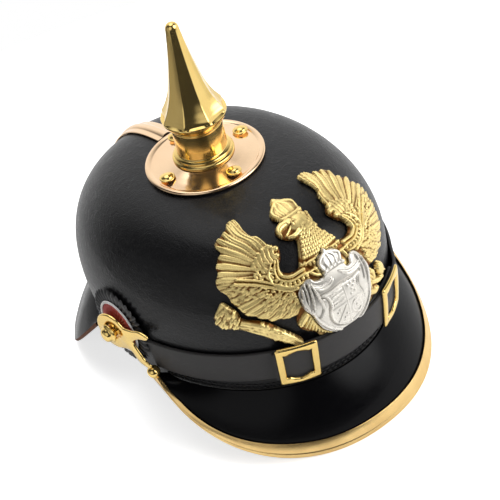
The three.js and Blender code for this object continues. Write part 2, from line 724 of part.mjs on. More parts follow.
// A tapering raised ridge between two places of the badge.
function ridge(from, to, width, height, base) {
  const along = new THREE.Vector2(to.x - from.x, to.y - from.y).normalize();
  const side = new THREE.Vector2(-along.y, along.x).multiplyScalar(width / 2);
  const at = (share, offset, z) => vec(
    mix(from.x, to.x, share) + side.x * offset,
    mix(from.y, to.y, share) + side.y * offset,
    z,
  );
  const top = base + height;
  const foot = base - BADGE.sink;
  const points = [
    at(0, -1, foot), at(0, 1, foot), at(0.8, 1, foot), at(1, 0, foot), at(0.8, -1, foot),
    at(0.06, 0, top), at(0.85, 0, top),
  ];
  return body(points, [
    [0, 1, 2], [0, 2, 4], [4, 2, 3], [0, 5, 1], [1, 5, 6],
    [1, 6, 2], [2, 6, 3], [3, 6, 4], [4, 6, 0], [0, 6, 5],
  ]);
}

function boss(x, y, z, sizeX, sizeY, sizeZ, sides = 8) {
  return new THREE.SphereGeometry(1, sides, sides / 2).scale(sizeX, sizeY, sizeZ).translate(x, y, z);
}

// Flight feathers fan out from the wing's shoulder line, a row for each span of the wing.
const FEATHERS = [
  { fromX: 24.7, fromY: 27, toX: 23.2, toY: 46 },
  { fromX: 27.7, fromY: 27, toX: 29.7, toY: 45.5 },
  { fromX: 30.7, fromY: 25, toX: 35.7, toY: 43 },
  { fromX: 32.7, fromY: 22, toX: 40.7, toY: 38.5 },
  { fromX: 34.7, fromY: 19, toX: 45.2, toY: 32.5 },
  { fromX: 35.7, fromY: 15, toX: 48.7, toY: 26 },
  { fromX: 35.7, fromY: 11, toX: 50.2, toY: 18.5 },
  { fromX: 34.7, fromY: 7, toX: 49.2, toY: 11 },
  { fromX: 32.7, fromY: 4, toX: 44.7, toY: 3.5 },
  { fromX: 28.7, fromY: 2, toX: 38.7, toY: -4.5 },
  { fromX: 24.7, fromY: 1, toX: 32.7, toY: -9 },
  { fromX: 20.7, fromY: 0, toX: 26.7, toY: -11 },
];
const COVERTS = [
  { fromX: 11.7, fromY: 4.5, toX: 23.7, toY: 5, width: 6 },
  { fromX: 19.7, fromY: 6, toX: 31.7, toY: 14, width: 7 },
  { fromX: 27.7, fromY: 10, toX: 30.7, toY: 25, width: 7 },
  { fromX: 22.7, fromY: 14, toX: 22.7, toY: 29, width: 6 },
];

// Rounded masses of the body: place on the badge, half sizes and height over the plate.
const MASSES = [
  { part: 'neck', x: -2, y: 12, sizeX: 9, sizeY: 15, rise: 3.6, sides: 8 },
  { part: 'face', x: -4, y: 28.5, sizeX: 7.5, sizeY: 6.5, rise: 4.4, sides: 8 },
  { part: 'beak', x: -11.5, y: 27, sizeX: 4.2, sizeY: 3, rise: 3.4, sides: 6 },
  { part: 'crown', x: -3.5, y: 38.5, sizeX: 6.5, sizeY: 5, rise: 3.4, sides: 8 },
];
const BREAST = { y: -10, sink: 1, sizeX: 12, sizeY: 14 };
// The tail's plumes start on a row under the breast and end on a slanting line.
const TAIL = { rootX: 5.7, rootSpread: 6, rootY: -18, innerX: 9.7, innerY: -33.5, outerX: 24.7, outerY: -20 };

function badgeRelief() {
  const { plate, featherWidth, featherHeight } = BADGE;
  const pieces = [];
  for (const side of [-1, 1]) {
    const mirror = (x, y) => ({ x: BADGE.x + side * x, y });
    for (const { fromX, fromY, toX, toY } of FEATHERS) {
      const root = mirror(fromX, fromY);
      pieces.push(ridge(root, mirror(toX, toY), featherWidth, featherHeight, plate));
    }
    for (const { fromX, fromY, toX, toY, width } of COVERTS) {
      pieces.push(ridge(mirror(fromX, fromY), mirror(toX, toY), width, BADGE.covertHeight, plate));
    }
    for (let k = 0; k < BADGE.tailFeathers; k += 1) {
      const spread = (k + 0.5) / BADGE.tailFeathers;
      const root = mirror(TAIL.rootX + TAIL.rootSpread * spread, TAIL.rootY);
      const tip = mirror(mix(TAIL.innerX, TAIL.outerX, spread), mix(TAIL.innerY, TAIL.outerY, spread));
      pieces.push(ridge(root, tip, featherWidth, featherHeight, plate));
    }
  }
  for (const { x, y, sizeX, sizeY, rise, sides } of MASSES) {
    pieces.push(boss(x, y, plate, sizeX, sizeY, rise, sides));
  }
  const breastFoot = plate - BREAST.sink;
  pieces.push(boss(BADGE.x, BREAST.y, breastFoot, BREAST.sizeX, BREAST.sizeY, BADGE.breast));
  return pieces;
}

// Sceptre gripped by the eagle's foot: lobed head and a tapering shaft.
function badgeSceptre() {
  const { x, y, lobe, lobes, endX, endY } = SCEPTRE;
  const pieces = [boss(x, y, 1.4, lobe * 1.3, lobe * 1.1, 3.4)];
  for (let k = 0; k < lobes; k += 1) {
    const angle = (k / lobes) * TURN;
    pieces.push(boss(x + lobe * Math.cos(angle), y + lobe * Math.sin(angle), 1.2, 2.8, 2.8, 2.4, 6));
  }
  const start = vec(x + lobe * 0.6, y - lobe * 0.6, 1.5);
  const end = vec(endX, endY, 1.5);
  const length = start.distanceTo(end);
  const shaft = new THREE.CylinderGeometry(1.5, 2.6, length, 6).translate(0, length / 2, 0);
  const way = end.clone().sub(start).normalize();
  shaft.applyQuaternion(new THREE.Quaternion().setFromUnitVectors(vec(0, 1, 0), way));
  pieces.push(shaft.translate(start.x, start.y, start.z));
  pieces.push(boss(mix(start.x, endX, 0.35), mix(start.y, endY, 0.35), 1.6, 4, 3.4, 2.8, 6));
  return pieces;
}

// Splits every edge that is longer than a facet, so that flat stretches can bend.
function refined(geometry, longest) {
  const points = [];
  const position = geometry.attributes.position;
  for (let i = 0; i < position.count; i += 1) {
    points.push(new THREE.Vector3().fromBufferAttribute(position, i));
  }
  let faces = [];
  for (let i = 0; i < geometry.index.count; i += 3) {
    faces.push([0, 1, 2].map((k) => geometry.index.getX(i + k)));
  }
  let split = true;
  while (split) {
    split = false;
    const middles = new Map();
    const middleOf = (a, b) => {
      if (points[a].distanceTo(points[b]) <= longest) return null;
      const key = a < b ? `${a}_${b}` : `${b}_${a}`;
      if (!middles.has(key)) middles.set(key, points.push(points[a].clone().lerp(points[b], 0.5)) - 1);
      return middles.get(key);
    };
    const next = [];
    for (const [a, b, c] of faces) {
      const outline = [a, middleOf(a, b), b, middleOf(b, c), c, middleOf(c, a)];
      const extra = outline.filter((p, k) => k % 2 === 1 && p !== null).length;
      if (extra === 3) {
        next.push([outline[1], outline[3], outline[5]]);
        next.push([a, outline[1], outline[5]], [outline[1], b, outline[3]], [outline[5], outline[3], c]);
      } else {
        const start = outline.findIndex((p, k) => k % 2 === 1 && p !== null);
        const turned = extra === 0 ? outline : [...outline.slice(start), ...outline.slice(0, start)];
        const used = turned.filter((p) => p !== null);
        for (let k = 1; k < used.length - 1; k += 1) next.push([used[0], used[k], used[k + 1]]);
      }
      split = split || extra > 0;
    }
    faces = next;
  }
  return body(points, faces);
}

const wrapped = (geometry) => warp(refined(geometry, BADGE.facet), badgePlace);

// The badge stops just over the strap, which lies across its tail.
const aboveStrap = (geometry) => fromManifold(toManifold(geometry).subtract(toManifold(strapSeat())));

function eagle() {
  const left = [...WING].reverse().map(({ x, y }) => ({ x: BADGE.x - x, y }));
  const right = WING.map(({ x, y }) => ({ x: BADGE.x + x, y }));
  const plate = extruded(outlineShape([...left, ...HEAD, ...right]), BADGE.plate);
  const bird = joined([plate, ...badgeRelief(), ...badgeSceptre()]).trimByPlane([0, 0, 1], 0);
  return aboveStrap(wrapped(fromManifold(bird.subtract(joined(shieldSeat())))));
}

const MANTLE = [
  { x: -2.5, y: 1.5 }, { x: 2.5, y: -1.5 }, { x: 9, y: 0.5 }, { x: 15, y: -1.5 }, { x: 17.5, y: -9 },
  { x: 16.5, y: -17 }, { x: 14, y: -24 }, { x: 8.5, y: -29.5 }, { x: 2, y: -32 }, { x: -6, y: -32 },
  { x: -12.5, y: -29.5 }, { x: -18, y: -24 }, { x: -21, y: -17 }, { x: -23.5, y: -9 }, { x: -22, y: -1.5 },
  { x: -16, y: 1 }, { x: -7.5, y: -1.5 },
];
const ESCUTCHEON = [
  { x: 0, y: -7 }, { x: 4.5, y: -8.5 }, { x: 9, y: -6.5 }, { x: 9.5, y: -13 }, { x: 8, y: -19 },
  { x: 4.5, y: -24 }, { x: 0, y: -26.5 }, { x: -4.5, y: -24 }, { x: -8, y: -19 }, { x: -9.5, y: -13 },
  { x: -9, y: -6.5 }, { x: -4.5, y: -8.5 },
].map(({ x, y }) => ({ x: x + SHIELD.x, y }));

// Silver shield with a mantle, a quartered escutcheon and a small crown over it.
function shieldRelief() {
  const { x, lift, mantle, field, bar, folds, drape } = SHIELD;
  const raised = (points, depth, base) => extruded(outlineShape(points), depth).translate(0, 0, base);
  const top = lift + mantle;
  const pieces = [
    raised(MANTLE, mantle, lift),
    raised(ESCUTCHEON, field, top),
    new THREE.BoxGeometry(bar, 17, field).translate(x, -16.5, top + field),
    new THREE.BoxGeometry(17, bar, field).translate(x, -14.5, top + field),
  ];
  for (const side of [-1, 1]) {
    for (let k = 0; k < folds; k += 1) {
      const spread = k / (folds - 1);
      const from = { x: x + side * mix(12.5, 18.5, spread), y: -4 };
      const to = { x: x + side * mix(9, 16, spread), y: mix(-28, -19, spread) };
      pieces.push(ridge(from, to, drape, SHIELD.drapeHeight, top));
    }
  }
  const { crownY, crownX, crownZ, beads } = SHIELD;
  pieces.push(boss(x, crownY, lift + SHIELD.crownBase, crownX, crownX * 0.75, crownZ));
  pieces.push(boss(x, crownY + 5.2, lift + SHIELD.crownBase, 1.7, 1.7, 1.5, 6));
  for (let k = 0; k < beads; k += 1) {
    const along = mix(-1, 1, k / (beads - 1));
    const beadY = crownY + 3.6 - Math.abs(along);
    pieces.push(boss(x + along * crownX, beadY, lift + SHIELD.crownBase, 1.5, 1.5, 1.6, 6));
  }
  return pieces;
}

function shield() {
  const solid = joined(shieldRelief()).trimByPlane([0, 0, 1], SHIELD.lift);
  return aboveStrap(wrapped(fromManifold(solid)));
}

// The seat that the shield takes in the eagle's breast.
function shieldSeat() {
  const { x, lift, crownX, crownY, seatMargin } = SHIELD;
  const middle = { x, y: -15 };
  const grown = MANTLE.map((p) => ({
    x: middle.x + (p.x - middle.x) * seatMargin,
    y: middle.y + (p.y - middle.y) * seatMargin,
  }));
  const base = lift - GAP;
  const crown = new THREE.CylinderGeometry(crownX + 2, crownX + 2, 10, 12).rotateX(QUARTER);
  return [
    extruded(outlineShape(grown), 10).translate(0, 0, base),
    crown.translate(x, crownY + 1.5, base + 5),
  ];
}

// ---------------------------------------------------------------- assembly
const leather = { color: 0x17171a, roughness: 0.35, metalness: 0 };
const patent = { color: 0x0b0b0c, roughness: 0.12, metalness: 0 };
const strapLeather = { color: 0x3b3a3c, roughness: 0.5, metalness: 0 };
const goldBrass = { color: 0xd8a83a, roughness: 0.22, metalness: 1 };
const roseBrass = { color: 0xd9a878, roughness: 0.2, metalness: 1 };
const silver = { color: 0xd8d8d8, roughness: 0.22, metalness: 1 };
const blackEnamel = { color: 0x101010, roughness: 0.3, metalness: 0.1 };
const whiteEnamel = { color: 0xe9e6e0, roughness: 0.4, metalness: 0 };
const redEnamel = { color: 0x9a2b25, roughness: 0.4, metalness: 0 };

const helmet = new THREE.Group();

function add(name, geometry, finish) {
  const mesh = new THREE.Mesh(geometry, new THREE.MeshStandardMaterial(finish));
  mesh.name = name;
  helmet.add(mesh);
}

function addPair(name, geometry, finish) {
  add(`${name}_left`, geometry, finish);
  add(`${name}_right`, mirrored(geometry), finish);
}

add('skull', skullShell(), leather);
add('front_peak', frontPeak(), patent);
add('rear_peak', rearPeak(), patent);
add('peak_trim', peakTrim(), goldBrass);
addPair('trim_rivet', trimRivet(-1), goldBrass);
add('rear_spine', rearSpine(), roseBrass);
add('spike_base', spikeBase(), roseBrass);
['front', 'right', 'back', 'left'].forEach((place, quarter) => {
  add(`base_stud_${place}`, baseStud(quarter), goldBrass);
});
add('spike_neck', spikeNeck(), goldBrass);
add('spike_point', spikePoint(), goldBrass);
add('eagle', eagle(), goldBrass);
add('shield', shield(), silver);
add('strap_under', strapLength(-STRAP.endTurn, STRAP.overlapTurn, 0), strapLeather);
add('strap_over', strapLength(-STRAP.overlapTurn, STRAP.endTurn, 1), strapLeather);
add('buckle_left', buckle(-1), goldBrass);
add('buckle_right', buckle(1), goldBrass);
addPair('cockade', cockadeDisc(), blackEnamel);
addPair('cockade_white', cockadeWhite(), whiteEnamel);
addPair('cockade_red', cockadeRed(), redEnamel);
addPair('strap_fork', sideFork(), goldBrass);
addPair('side_post', sidePost(), goldBrass);

export default helmet;
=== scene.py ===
# %% [markdown]
# # A spiked parade helmet, finished in Blender
# The solid model already fixes every size. Here each piece gets its real surface: lacquered
# leather, stamped brass, silver plate and stitched seams. The solids are loaded first, and a
# solid is hidden once its finished piece takes its place.

# %% Load the solid model
import math

import bmesh
import bpy
import numpy as np
from mathutils import Matrix, Vector


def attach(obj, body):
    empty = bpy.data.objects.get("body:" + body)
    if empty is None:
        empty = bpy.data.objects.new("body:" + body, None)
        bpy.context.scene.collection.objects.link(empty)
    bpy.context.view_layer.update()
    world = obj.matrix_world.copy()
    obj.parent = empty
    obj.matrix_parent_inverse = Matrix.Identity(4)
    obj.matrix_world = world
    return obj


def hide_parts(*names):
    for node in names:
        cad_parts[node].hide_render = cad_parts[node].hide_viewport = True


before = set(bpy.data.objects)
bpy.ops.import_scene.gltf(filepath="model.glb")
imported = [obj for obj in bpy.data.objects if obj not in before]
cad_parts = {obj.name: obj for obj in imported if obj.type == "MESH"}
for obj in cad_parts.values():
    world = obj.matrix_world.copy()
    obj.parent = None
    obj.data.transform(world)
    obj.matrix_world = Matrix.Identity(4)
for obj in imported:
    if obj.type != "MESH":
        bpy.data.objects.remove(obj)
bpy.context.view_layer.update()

MM = 0.001
rng = np.random.default_rng(7)
print("solid pieces:", len(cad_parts))

# %% [markdown]
# ## The leather skull as a formula
# A real skull is leather pressed over a wooden block. Every fitting lies on that one surface,
# so it is written as a formula: at each height the section is an oval, longer at the back.
# `turn` goes round from the front, `share` is the share of the full height.

# %% The skull's surface
RIM = 34.5
HALF_WIDTH, FRONT_REACH, BACK_REACH, CENTRE_Y, HEIGHT = 86, 109.3, 113.4, -3, 108.2
SIDE_RISE, FRONT_RISE, BACK_RISE, SHOULDER, RIM_TAPER = 3.63, 4.52, 2.74, 2.18, 0.106
FLAT_START, FLAT_DROP, WALL = 88, 7.8, 2.6
FLAT_RATE = FLAT_DROP / (HEIGHT - FLAT_START) ** 2
CROWN = RIM + HEIGHT - FLAT_DROP


def section(share):
    share = np.clip(share, 0, 1)
    taper = 1 - RIM_TAPER * (1 - share) ** 2
    spread = lambda rise: np.maximum(0, 1 - share**rise) ** (1 / SHOULDER) * taper
    return HALF_WIDTH * spread(SIDE_RISE), FRONT_REACH * spread(FRONT_RISE), BACK_REACH * spread(BACK_RISE)


def share_at(height):
    over = np.maximum(0, 1 - 4 * FLAT_RATE * (height - FLAT_START))
    upper = (FLAT_START + (1 - np.sqrt(over)) / (2 * FLAT_RATE)) / HEIGHT
    return np.where(height <= FLAT_START, height / HEIGHT, upper)


def skin(turn, share):
    side, front, back = section(share)
    reach = np.where(np.cos(turn) > 0, front, back)
    height = share * HEIGHT
    z = RIM + height - FLAT_RATE * np.maximum(0, height - FLAT_START) ** 2
    return np.stack(np.broadcast_arrays(side * np.sin(turn), CENTRE_Y - reach * np.cos(turn), z), -1)


def unit(vectors):
    return vectors / np.maximum(1e-12, np.linalg.norm(vectors, axis=-1, keepdims=True))


def skin_normal(turn, share):
    step = 0.002
    along = skin(turn + step, share) - skin(turn - step, share)
    up = skin(turn, np.minimum(0.9995, share + step)) - skin(turn, np.maximum(0, share - step))
    return unit(np.cross(along, up))


def on_skull(turn_degrees, height, lift):
    turn = np.radians(turn_degrees)
    share = share_at(np.asarray(height, float))
    lift = np.asarray(lift, float)[..., None]
    return skin(turn, share) + skin_normal(turn, np.clip(share, 0.01, 0.999)) * lift


def outside(point):
    height = point[..., 2] - RIM
    side, front, back = section(np.minimum(0.99999, share_at(np.maximum(0, height))))
    y = point[..., 1] - CENTRE_Y
    reach = np.where(y < 0, front, back)
    value = (point[..., 0] / side) ** 2 + (y / reach) ** 2 - 1
    return np.where(height >= CROWN - RIM, 1.0, value)


print("skull at the rim, mm:", [round(float(v), 1) for v in section(0.0)])

# %% [markdown]
# ## From points to a piece
# Most pieces here are a grid of points: rings joined in order, or a section carried along a
# path. These helpers turn such a grid into a mesh, point its faces outwards and hand it to the
# frame, so that it stands for the plain solid of the same name.

# %% Mesh helpers
def finish_piece(name, mesh, material, stands_for=(), sharp=None):
    mesh.polygons.foreach_set("use_smooth", [True] * len(mesh.polygons))
    if sharp:
        mesh.set_sharp_from_angle(angle=math.radians(sharp))
    if material and not mesh.materials:
        mesh.materials.append(material)
    piece = bpy.data.objects.new(name, mesh)
    bpy.context.scene.collection.objects.link(piece)
    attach(piece, "root")
    if stands_for:
        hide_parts(*stands_for)
    mesh.calc_loop_triangles()
    print(f"{name}: {len(mesh.loop_triangles)} triangles")
    return piece


def new_mesh(name, points, faces):
    mesh = bpy.data.meshes.new(name)
    mesh.from_pydata((np.asarray(points) * MM).tolist(), [], [list(f) for f in faces])
    mesh.update()
    points = np.array([v.co for v in mesh.vertices])
    mesh.calc_loop_triangles()
    corners = np.array([t.vertices for t in mesh.loop_triangles])
    a, b, c = points[corners[:, 0]], points[corners[:, 1]], points[corners[:, 2]]
    if np.einsum("ij,ij->i", a, np.cross(b, c)).sum() < 0:
        mesh.flip_normals()
    return mesh


def ring_mesh(name, rows, close_path=False, first=None, last=None):
    """Rows of closed rings; first and last are single points that close the ends."""
    rows = np.asarray(rows, float)
    count, size = rows.shape[:2]
    points = rows.reshape(-1, 3)
    faces = []
    here = np.arange(size)
    there = (here + 1) % size
    for r in range(count if close_path else count - 1):
        a, b = r * size, ((r + 1) % count) * size
        faces += np.stack([a + here, a + there, b + there, b + here], 1).tolist()
    for end, point in ((0, first), (count - 1, last)):
        if point is None:
            continue
        points = np.vstack([points, np.asarray(point, float)[None]])
        tip = len(points) - 1
        base = end * size
        fan = np.stack([np.full(size, tip), base + there, base + here], 1)
        faces += (fan if end == 0 else fan[:, ::-1]).tolist()
    return new_mesh(name, points, faces)


def swept(name, rows):
    """A section carried along a path and closed flat at both ends."""
    rows = np.asarray(rows, float)
    return ring_mesh(name, rows, first=rows[0].mean(0), last=rows[-1].mean(0))


def turned(name, profile, sides=96):
    """A profile of (radius, height) turned about the upright axis."""
    profile = np.array(profile, float)
    angle = np.arange(sides) / sides * 2 * np.pi
    rows = np.stack([
        np.stack([r * np.sin(angle), -r * np.cos(angle), np.full(sides, z)], -1) for r, z in profile])
    return ring_mesh(name, rows, first=(0, 0, profile[0, 1]), last=(0, 0, profile[-1, 1]))


def rounded(outline, radius, steps=4, closed=True):
    """Rounds the corners of an outline of points (x, y) by up to a radius."""
    pts = np.array(outline, float)
    result = []
    count = len(pts)
    for i, here in enumerate(pts):
        if not closed and i in (0, count - 1):
            result.append(here)
            continue
        before, after = pts[i - 1] - here, pts[(i + 1) % count] - here
        size = min(radius, 0.45 * np.hypot(*before), 0.45 * np.hypot(*after))
        start = here + before / max(1e-9, np.hypot(*before)) * size
        end = here + after / max(1e-9, np.hypot(*after)) * size
        for k in range(steps + 1):
            t = k / steps
            result.append((1 - t) ** 2 * start + 2 * t * (1 - t) * here + t * t * end)
    return np.array(result)


def spline(points, count, closed=False):
    """A smooth path through points, as evenly numbered places."""
    pts = np.array(points, float)
    if closed:
        pts = np.vstack([pts[-1], pts, pts[0], pts[1]])
    else:
        pts = np.vstack([2 * pts[0] - pts[1], pts, 2 * pts[-1] - pts[-2]])
    spans = len(pts) - 3
    places = np.linspace(0, spans, count, endpoint=not closed)
    i = np.minimum(places.astype(int), spans - 1)
    t = (places - i)[:, None]
    p0, p1, p2, p3 = pts[i], pts[i + 1], pts[i + 2], pts[i + 3]
    return 0.5 * (2 * p1 + (p2 - p0) * t + (2 * p0 - 5 * p1 + 4 * p2 - p3) * t**2
                  + (3 * p1 - p0 - 3 * p2 + p3) * t**3)


print("helpers ready")

# %% [markdown]
# ## Shared surface effects
# Leather grain, and the slight unevenness of polished metal, are wanted in several materials.
# Each is a shader node group with named inputs. A group gives only masks and heights; the
# shader itself stays in the material.

# %% Shader node groups
def node_group(name, inputs, outputs):
    tree = bpy.data.node_groups.new(name, "ShaderNodeTree")
    for label, value in inputs.items():
        socket = tree.interface.new_socket(label, in_out="INPUT", socket_type="NodeSocketFloat")
        socket.default_value = value
    for label in outputs:
        tree.interface.new_socket(label, in_out="OUTPUT", socket_type="NodeSocketFloat")
    return tree, tree.nodes.new("NodeGroupInput"), tree.nodes.new("NodeGroupOutput")


def add(tree, kind, links=None, **values):
    """Adds a node; links maps a socket to a source or a value, the rest are its settings."""
    node = tree.nodes.new(kind)
    for key, value in values.items():
        setattr(node, key, value)
    for key, source in (links or {}).items():
        if isinstance(source, bpy.types.NodeSocket):
            tree.links.new(source, node.inputs[key])
        else:
            node.inputs[key].default_value = source
    return node


def maths(tree, operation, a, b=0.0, c=0.0):
    return add(tree, "ShaderNodeMath", {0: a, 1: b, 2: c}, operation=operation).outputs[0]


grain, inp, out = node_group(
    "Leather grain", {"Pore scale": 900.0, "Crease scale": 170.0, "Swell scale": 22.0},
    ["Height", "Creases", "Cloud"])
place = add(grain, "ShaderNodeTexCoord").outputs["Object"]
stretch = add(grain, "ShaderNodeMapping", {"Vector": place, "Scale": (1.0, 1.0, 2.1)}).outputs[0]
pores = add(grain, "ShaderNodeTexVoronoi", {"Vector": place, "Scale": inp.outputs["Pore scale"]},
            feature="DISTANCE_TO_EDGE").outputs["Distance"]
creases = add(grain, "ShaderNodeTexNoise", {
    "Vector": stretch, "Scale": inp.outputs["Crease scale"], "Detail": 6.0, "Roughness": 0.62,
    "Distortion": 0.9}).outputs["Fac"]
ridged = maths(grain, "ABSOLUTE", maths(grain, "SUBTRACT", creases, 0.5))
swell = add(grain, "ShaderNodeTexNoise", {
    "Vector": place, "Scale": inp.outputs["Swell scale"], "Detail": 3.0}).outputs["Fac"]
height = maths(grain, "MULTIPLY_ADD", pores, 0.5, maths(grain, "MULTIPLY_ADD", ridged, 1.6, swell))
grain.links.new(height, out.inputs["Height"])
grain.links.new(ridged, out.inputs["Creases"])
grain.links.new(swell, out.inputs["Cloud"])

polish, inp, out = node_group(
    "Uneven polish", {"Cloud scale": 40.0, "Fine scale": 700.0}, ["Cloud", "Fine", "Height"])
place = add(polish, "ShaderNodeTexCoord").outputs["Object"]
cloud = add(polish, "ShaderNodeTexNoise", {
    "Vector": place, "Scale": inp.outputs["Cloud scale"], "Detail": 4.0}).outputs["Fac"]
fine = add(polish, "ShaderNodeTexNoise", {
    "Vector": place, "Scale": inp.outputs["Fine scale"], "Detail": 3.0}).outputs["Fac"]
polish.links.new(cloud, out.inputs["Cloud"])
polish.links.new(fine, out.inputs["Fine"])
polish.links.new(maths(polish, "MULTIPLY_ADD", fine, 0.35, cloud), out.inputs["Height"])
print("groups:", [g.name for g in bpy.data.node_groups])

# %% [markdown]
# ## Leather and metal
# Black lacquer is almost no colour of its own: what shows is the room in its gloss. So the
# base is near black, the grain breaks up the gloss, and a clear coat stands for the lacquer.
# Brass and silver are bare metal. Their tint drifts a little, and the stamped pieces are darker
# in their hollows: partly the polish and dirt that collect there, partly painted shade.

# %% Materials
def new_material(name):
    made = bpy.data.materials.new(name)
    made.use_nodes = True
    tree = made.node_tree
    return made, tree, tree.nodes["Principled BSDF"]


def remap(tree, value, low, high, to_low, to_high):
    return add(tree, "ShaderNodeMapRange", {
        "Value": value, "From Min": low, "From Max": high, "To Min": to_low, "To Max": to_high}).outputs[0]


def blend(tree, mask, first, second):
    node = add(tree, "ShaderNodeMix", {"Factor": mask}, data_type="RGBA")
    for socket, colour in ((node.inputs[6], first), (node.inputs[7], second)):
        if isinstance(colour, bpy.types.NodeSocket):
            tree.links.new(colour, socket)
        else:
            socket.default_value = (*colour, 1)
    return node.outputs[2]


def bump_normal(tree, shader, distance, height):
    relief = add(tree, "ShaderNodeBump", {"Strength": 1.0, "Distance": distance, "Height": height})
    tree.links.new(relief.outputs[0], shader.inputs["Normal"])


def leather(name, colour, lighter, rough, bump, coat, coat_rough,
            scales=(900.0, 170.0, 22.0), shine=0.2):
    made, tree, shader = new_material(name)
    group = add(tree, "ShaderNodeGroup", node_tree=grain)
    for label, value in zip(("Pore scale", "Crease scale", "Swell scale"), scales):
        group.inputs[label].default_value = value
    tree.links.new(blend(tree, group.outputs["Cloud"], colour, lighter), shader.inputs["Base Color"])
    roughness = remap(tree, group.outputs["Creases"], 0.0, 0.2, rough + 0.1, rough)
    tree.links.new(roughness, shader.inputs["Roughness"])
    bump_normal(tree, shader, bump, group.outputs["Height"])
    shader.inputs["Specular IOR Level"].default_value = shine
    shader.inputs["Coat Weight"].default_value = coat
    shader.inputs["Coat Roughness"].default_value = coat_rough
    return made


# the stamped relief holds a little lacquer and dirt, so it is less of a mirror than plain brass
STAMPED_METALLIC, PLAIN_METALLIC = 0.66, 0.97


def metal(name, colour, hollow, rough, bump=0.00002, has_crease_patina_and_shade=False, cloud=40.0):
    made, tree, shader = new_material(name)
    group = add(tree, "ShaderNodeGroup", node_tree=polish)
    group.inputs["Cloud scale"].default_value = cloud
    tint = blend(tree, remap(tree, group.outputs["Cloud"], 0.35, 0.7, 0.0, 0.25), colour, hollow)
    # stamped pieces: the crease attribute darkens the hollows, which is painted shade with some patina
    if has_crease_patina_and_shade:
        crease = add(tree, "ShaderNodeAttribute", attribute_name="crease").outputs["Fac"]
        tint = blend(tree, crease, tint, hollow)
    tree.links.new(tint, shader.inputs["Base Color"])
    roughness = remap(tree, group.outputs["Cloud"], 0.3, 0.7, rough - 0.04, rough + 0.06)
    tree.links.new(roughness, shader.inputs["Roughness"])
    shader.inputs["Metallic"].default_value = STAMPED_METALLIC if has_crease_patina_and_shade else PLAIN_METALLIC
    bump_normal(tree, shader, bump, group.outputs["Height"])
    return made


skull_leather = leather("Lacquered skull leather", (0.003, 0.003, 0.0035), (0.006, 0.006, 0.007),
                        0.3, 0.00038, 0.16, 0.12)
patent_leather = leather("Patent peak leather", (0.002, 0.002, 0.0025), (0.003, 0.003, 0.0035),
                         0.14, 0.00005, 0.05, 0.06, (900.0, 90.0, 14.0), 0.08)
strap_leather = leather("Strap leather", (0.030, 0.029, 0.029), (0.042, 0.04, 0.04),
                        0.5, 0.0001, 0.1, 0.35, (1100.0, 240.0, 40.0))
cut_leather = leather("Cut leather edge", (0.12, 0.05, 0.03), (0.2, 0.09, 0.05), 0.6, 0.0001, 0.0, 0.3)
thread = leather("Black thread", (0.012, 0.012, 0.012), (0.02, 0.02, 0.02), 0.5, 0.00005, 0.0, 0.3)
gold_brass = metal("Gold brass", (0.93, 0.68, 0.24), (0.72, 0.42, 0.11), 0.12)
edging_brass = metal("Edging brass", (0.93, 0.66, 0.28), (0.55, 0.27, 0.06), 0.17, 0.00003, cloud=55.0)
stamped_brass = metal("Stamped gold brass", (1.0, 0.79, 0.32), (0.17, 0.06, 0.006),
                      0.25, 0.00006, True, 90.0)
rose_brass = metal("Rose brass", (0.95, 0.70, 0.46), (0.62, 0.30, 0.10), 0.11, cloud=24.0)
silver = metal("Silver plate", (0.93, 0.89, 0.81), (0.10, 0.085, 0.07), 0.27, 0.00004, True, 90.0)


def enamel(name, colour, rough):
    made, tree, shader = new_material(name)
    group = add(tree, "ShaderNodeGroup", node_tree=polish)
    darker = tuple(0.75 * c for c in colour)
    tree.links.new(blend(tree, group.outputs["Cloud"], darker, colour), shader.inputs["Base Color"])
    roughness = remap(tree, group.outputs["Fine"], 0.3, 0.7, rough - 0.05, rough + 0.1)
    tree.links.new(roughness, shader.inputs["Roughness"])
    return made


black_enamel = enamel("Black cockade lacquer", (0.012, 0.012, 0.013), 0.35)
white_enamel = enamel("White cockade lacquer", (0.95, 0.94, 0.92), 0.4)
red_enamel = enamel("Red cockade lacquer", (0.58, 0.065, 0.05), 0.45)
print("materials:", len(bpy.data.materials))

# %% [markdown]
# ## The skull
# One closed shell: up the inside, round the rim and over the outside. The rim is rounded as a
# skived leather edge is.

# %% Leather skull
SKULL_SIDES, SKULL_LEVELS = 240, 90
NEAR_CROWN = 0.985  # the rings stop just short of the crown, which one point closes
LIP_ROUNDING = 0.3
turns = np.arange(SKULL_SIDES) / SKULL_SIDES * 2 * np.pi


def skull_ring(share, lift):
    normal = skin_normal(turns, np.full_like(turns, max(0.02, share)))
    return skin(turns, np.full_like(turns, share)) + normal * lift


levels = np.sin(np.linspace(0, NEAR_CROWN, SKULL_LEVELS) * np.pi / 2)
inner = [skull_ring(s, -WALL) for s in levels[::3][::-1]]
inner[-1][:, 2] = RIM
outer = [skull_ring(s, 0) for s in levels]
lip = [skull_ring(0, -WALL * t) for t in (0.75, 0.4, 0.1)]
for ring, drop in zip(lip, (0.35, 0.45, 0.25)):
    ring[:, 2] = RIM - drop * LIP_ROUNDING
inside_top, outside_top = (0, CENTRE_Y, CROWN - WALL), (0, CENTRE_Y, CROWN)
mesh = ring_mesh("skull", inner + lip + outer, first=inside_top, last=outside_top)
finish_piece("leather_skull", mesh, skull_leather, ("skull",))

# %% [markdown]
# ## The peaks
# Each peak is a flat leather piece drawn out from the seam to its lower edge and bulged a
# little. A local frame at each place along it gives the seam, the edge and the direction
# square to the leather, and the brass edging uses the same frames.

# %% Peak frames
SEAM_HEIGHT = 5
FRONT = dict(half_width=84.2, front_y=-120.8, end_y=-24.5, roundness=2.1, end_height=43.5,
             rise=3.25, seam_turn=76, thickness=2.1, bulge=2.2)
REAR = dict(seam_turn=66, thickness=2.4, bulge=2.5)
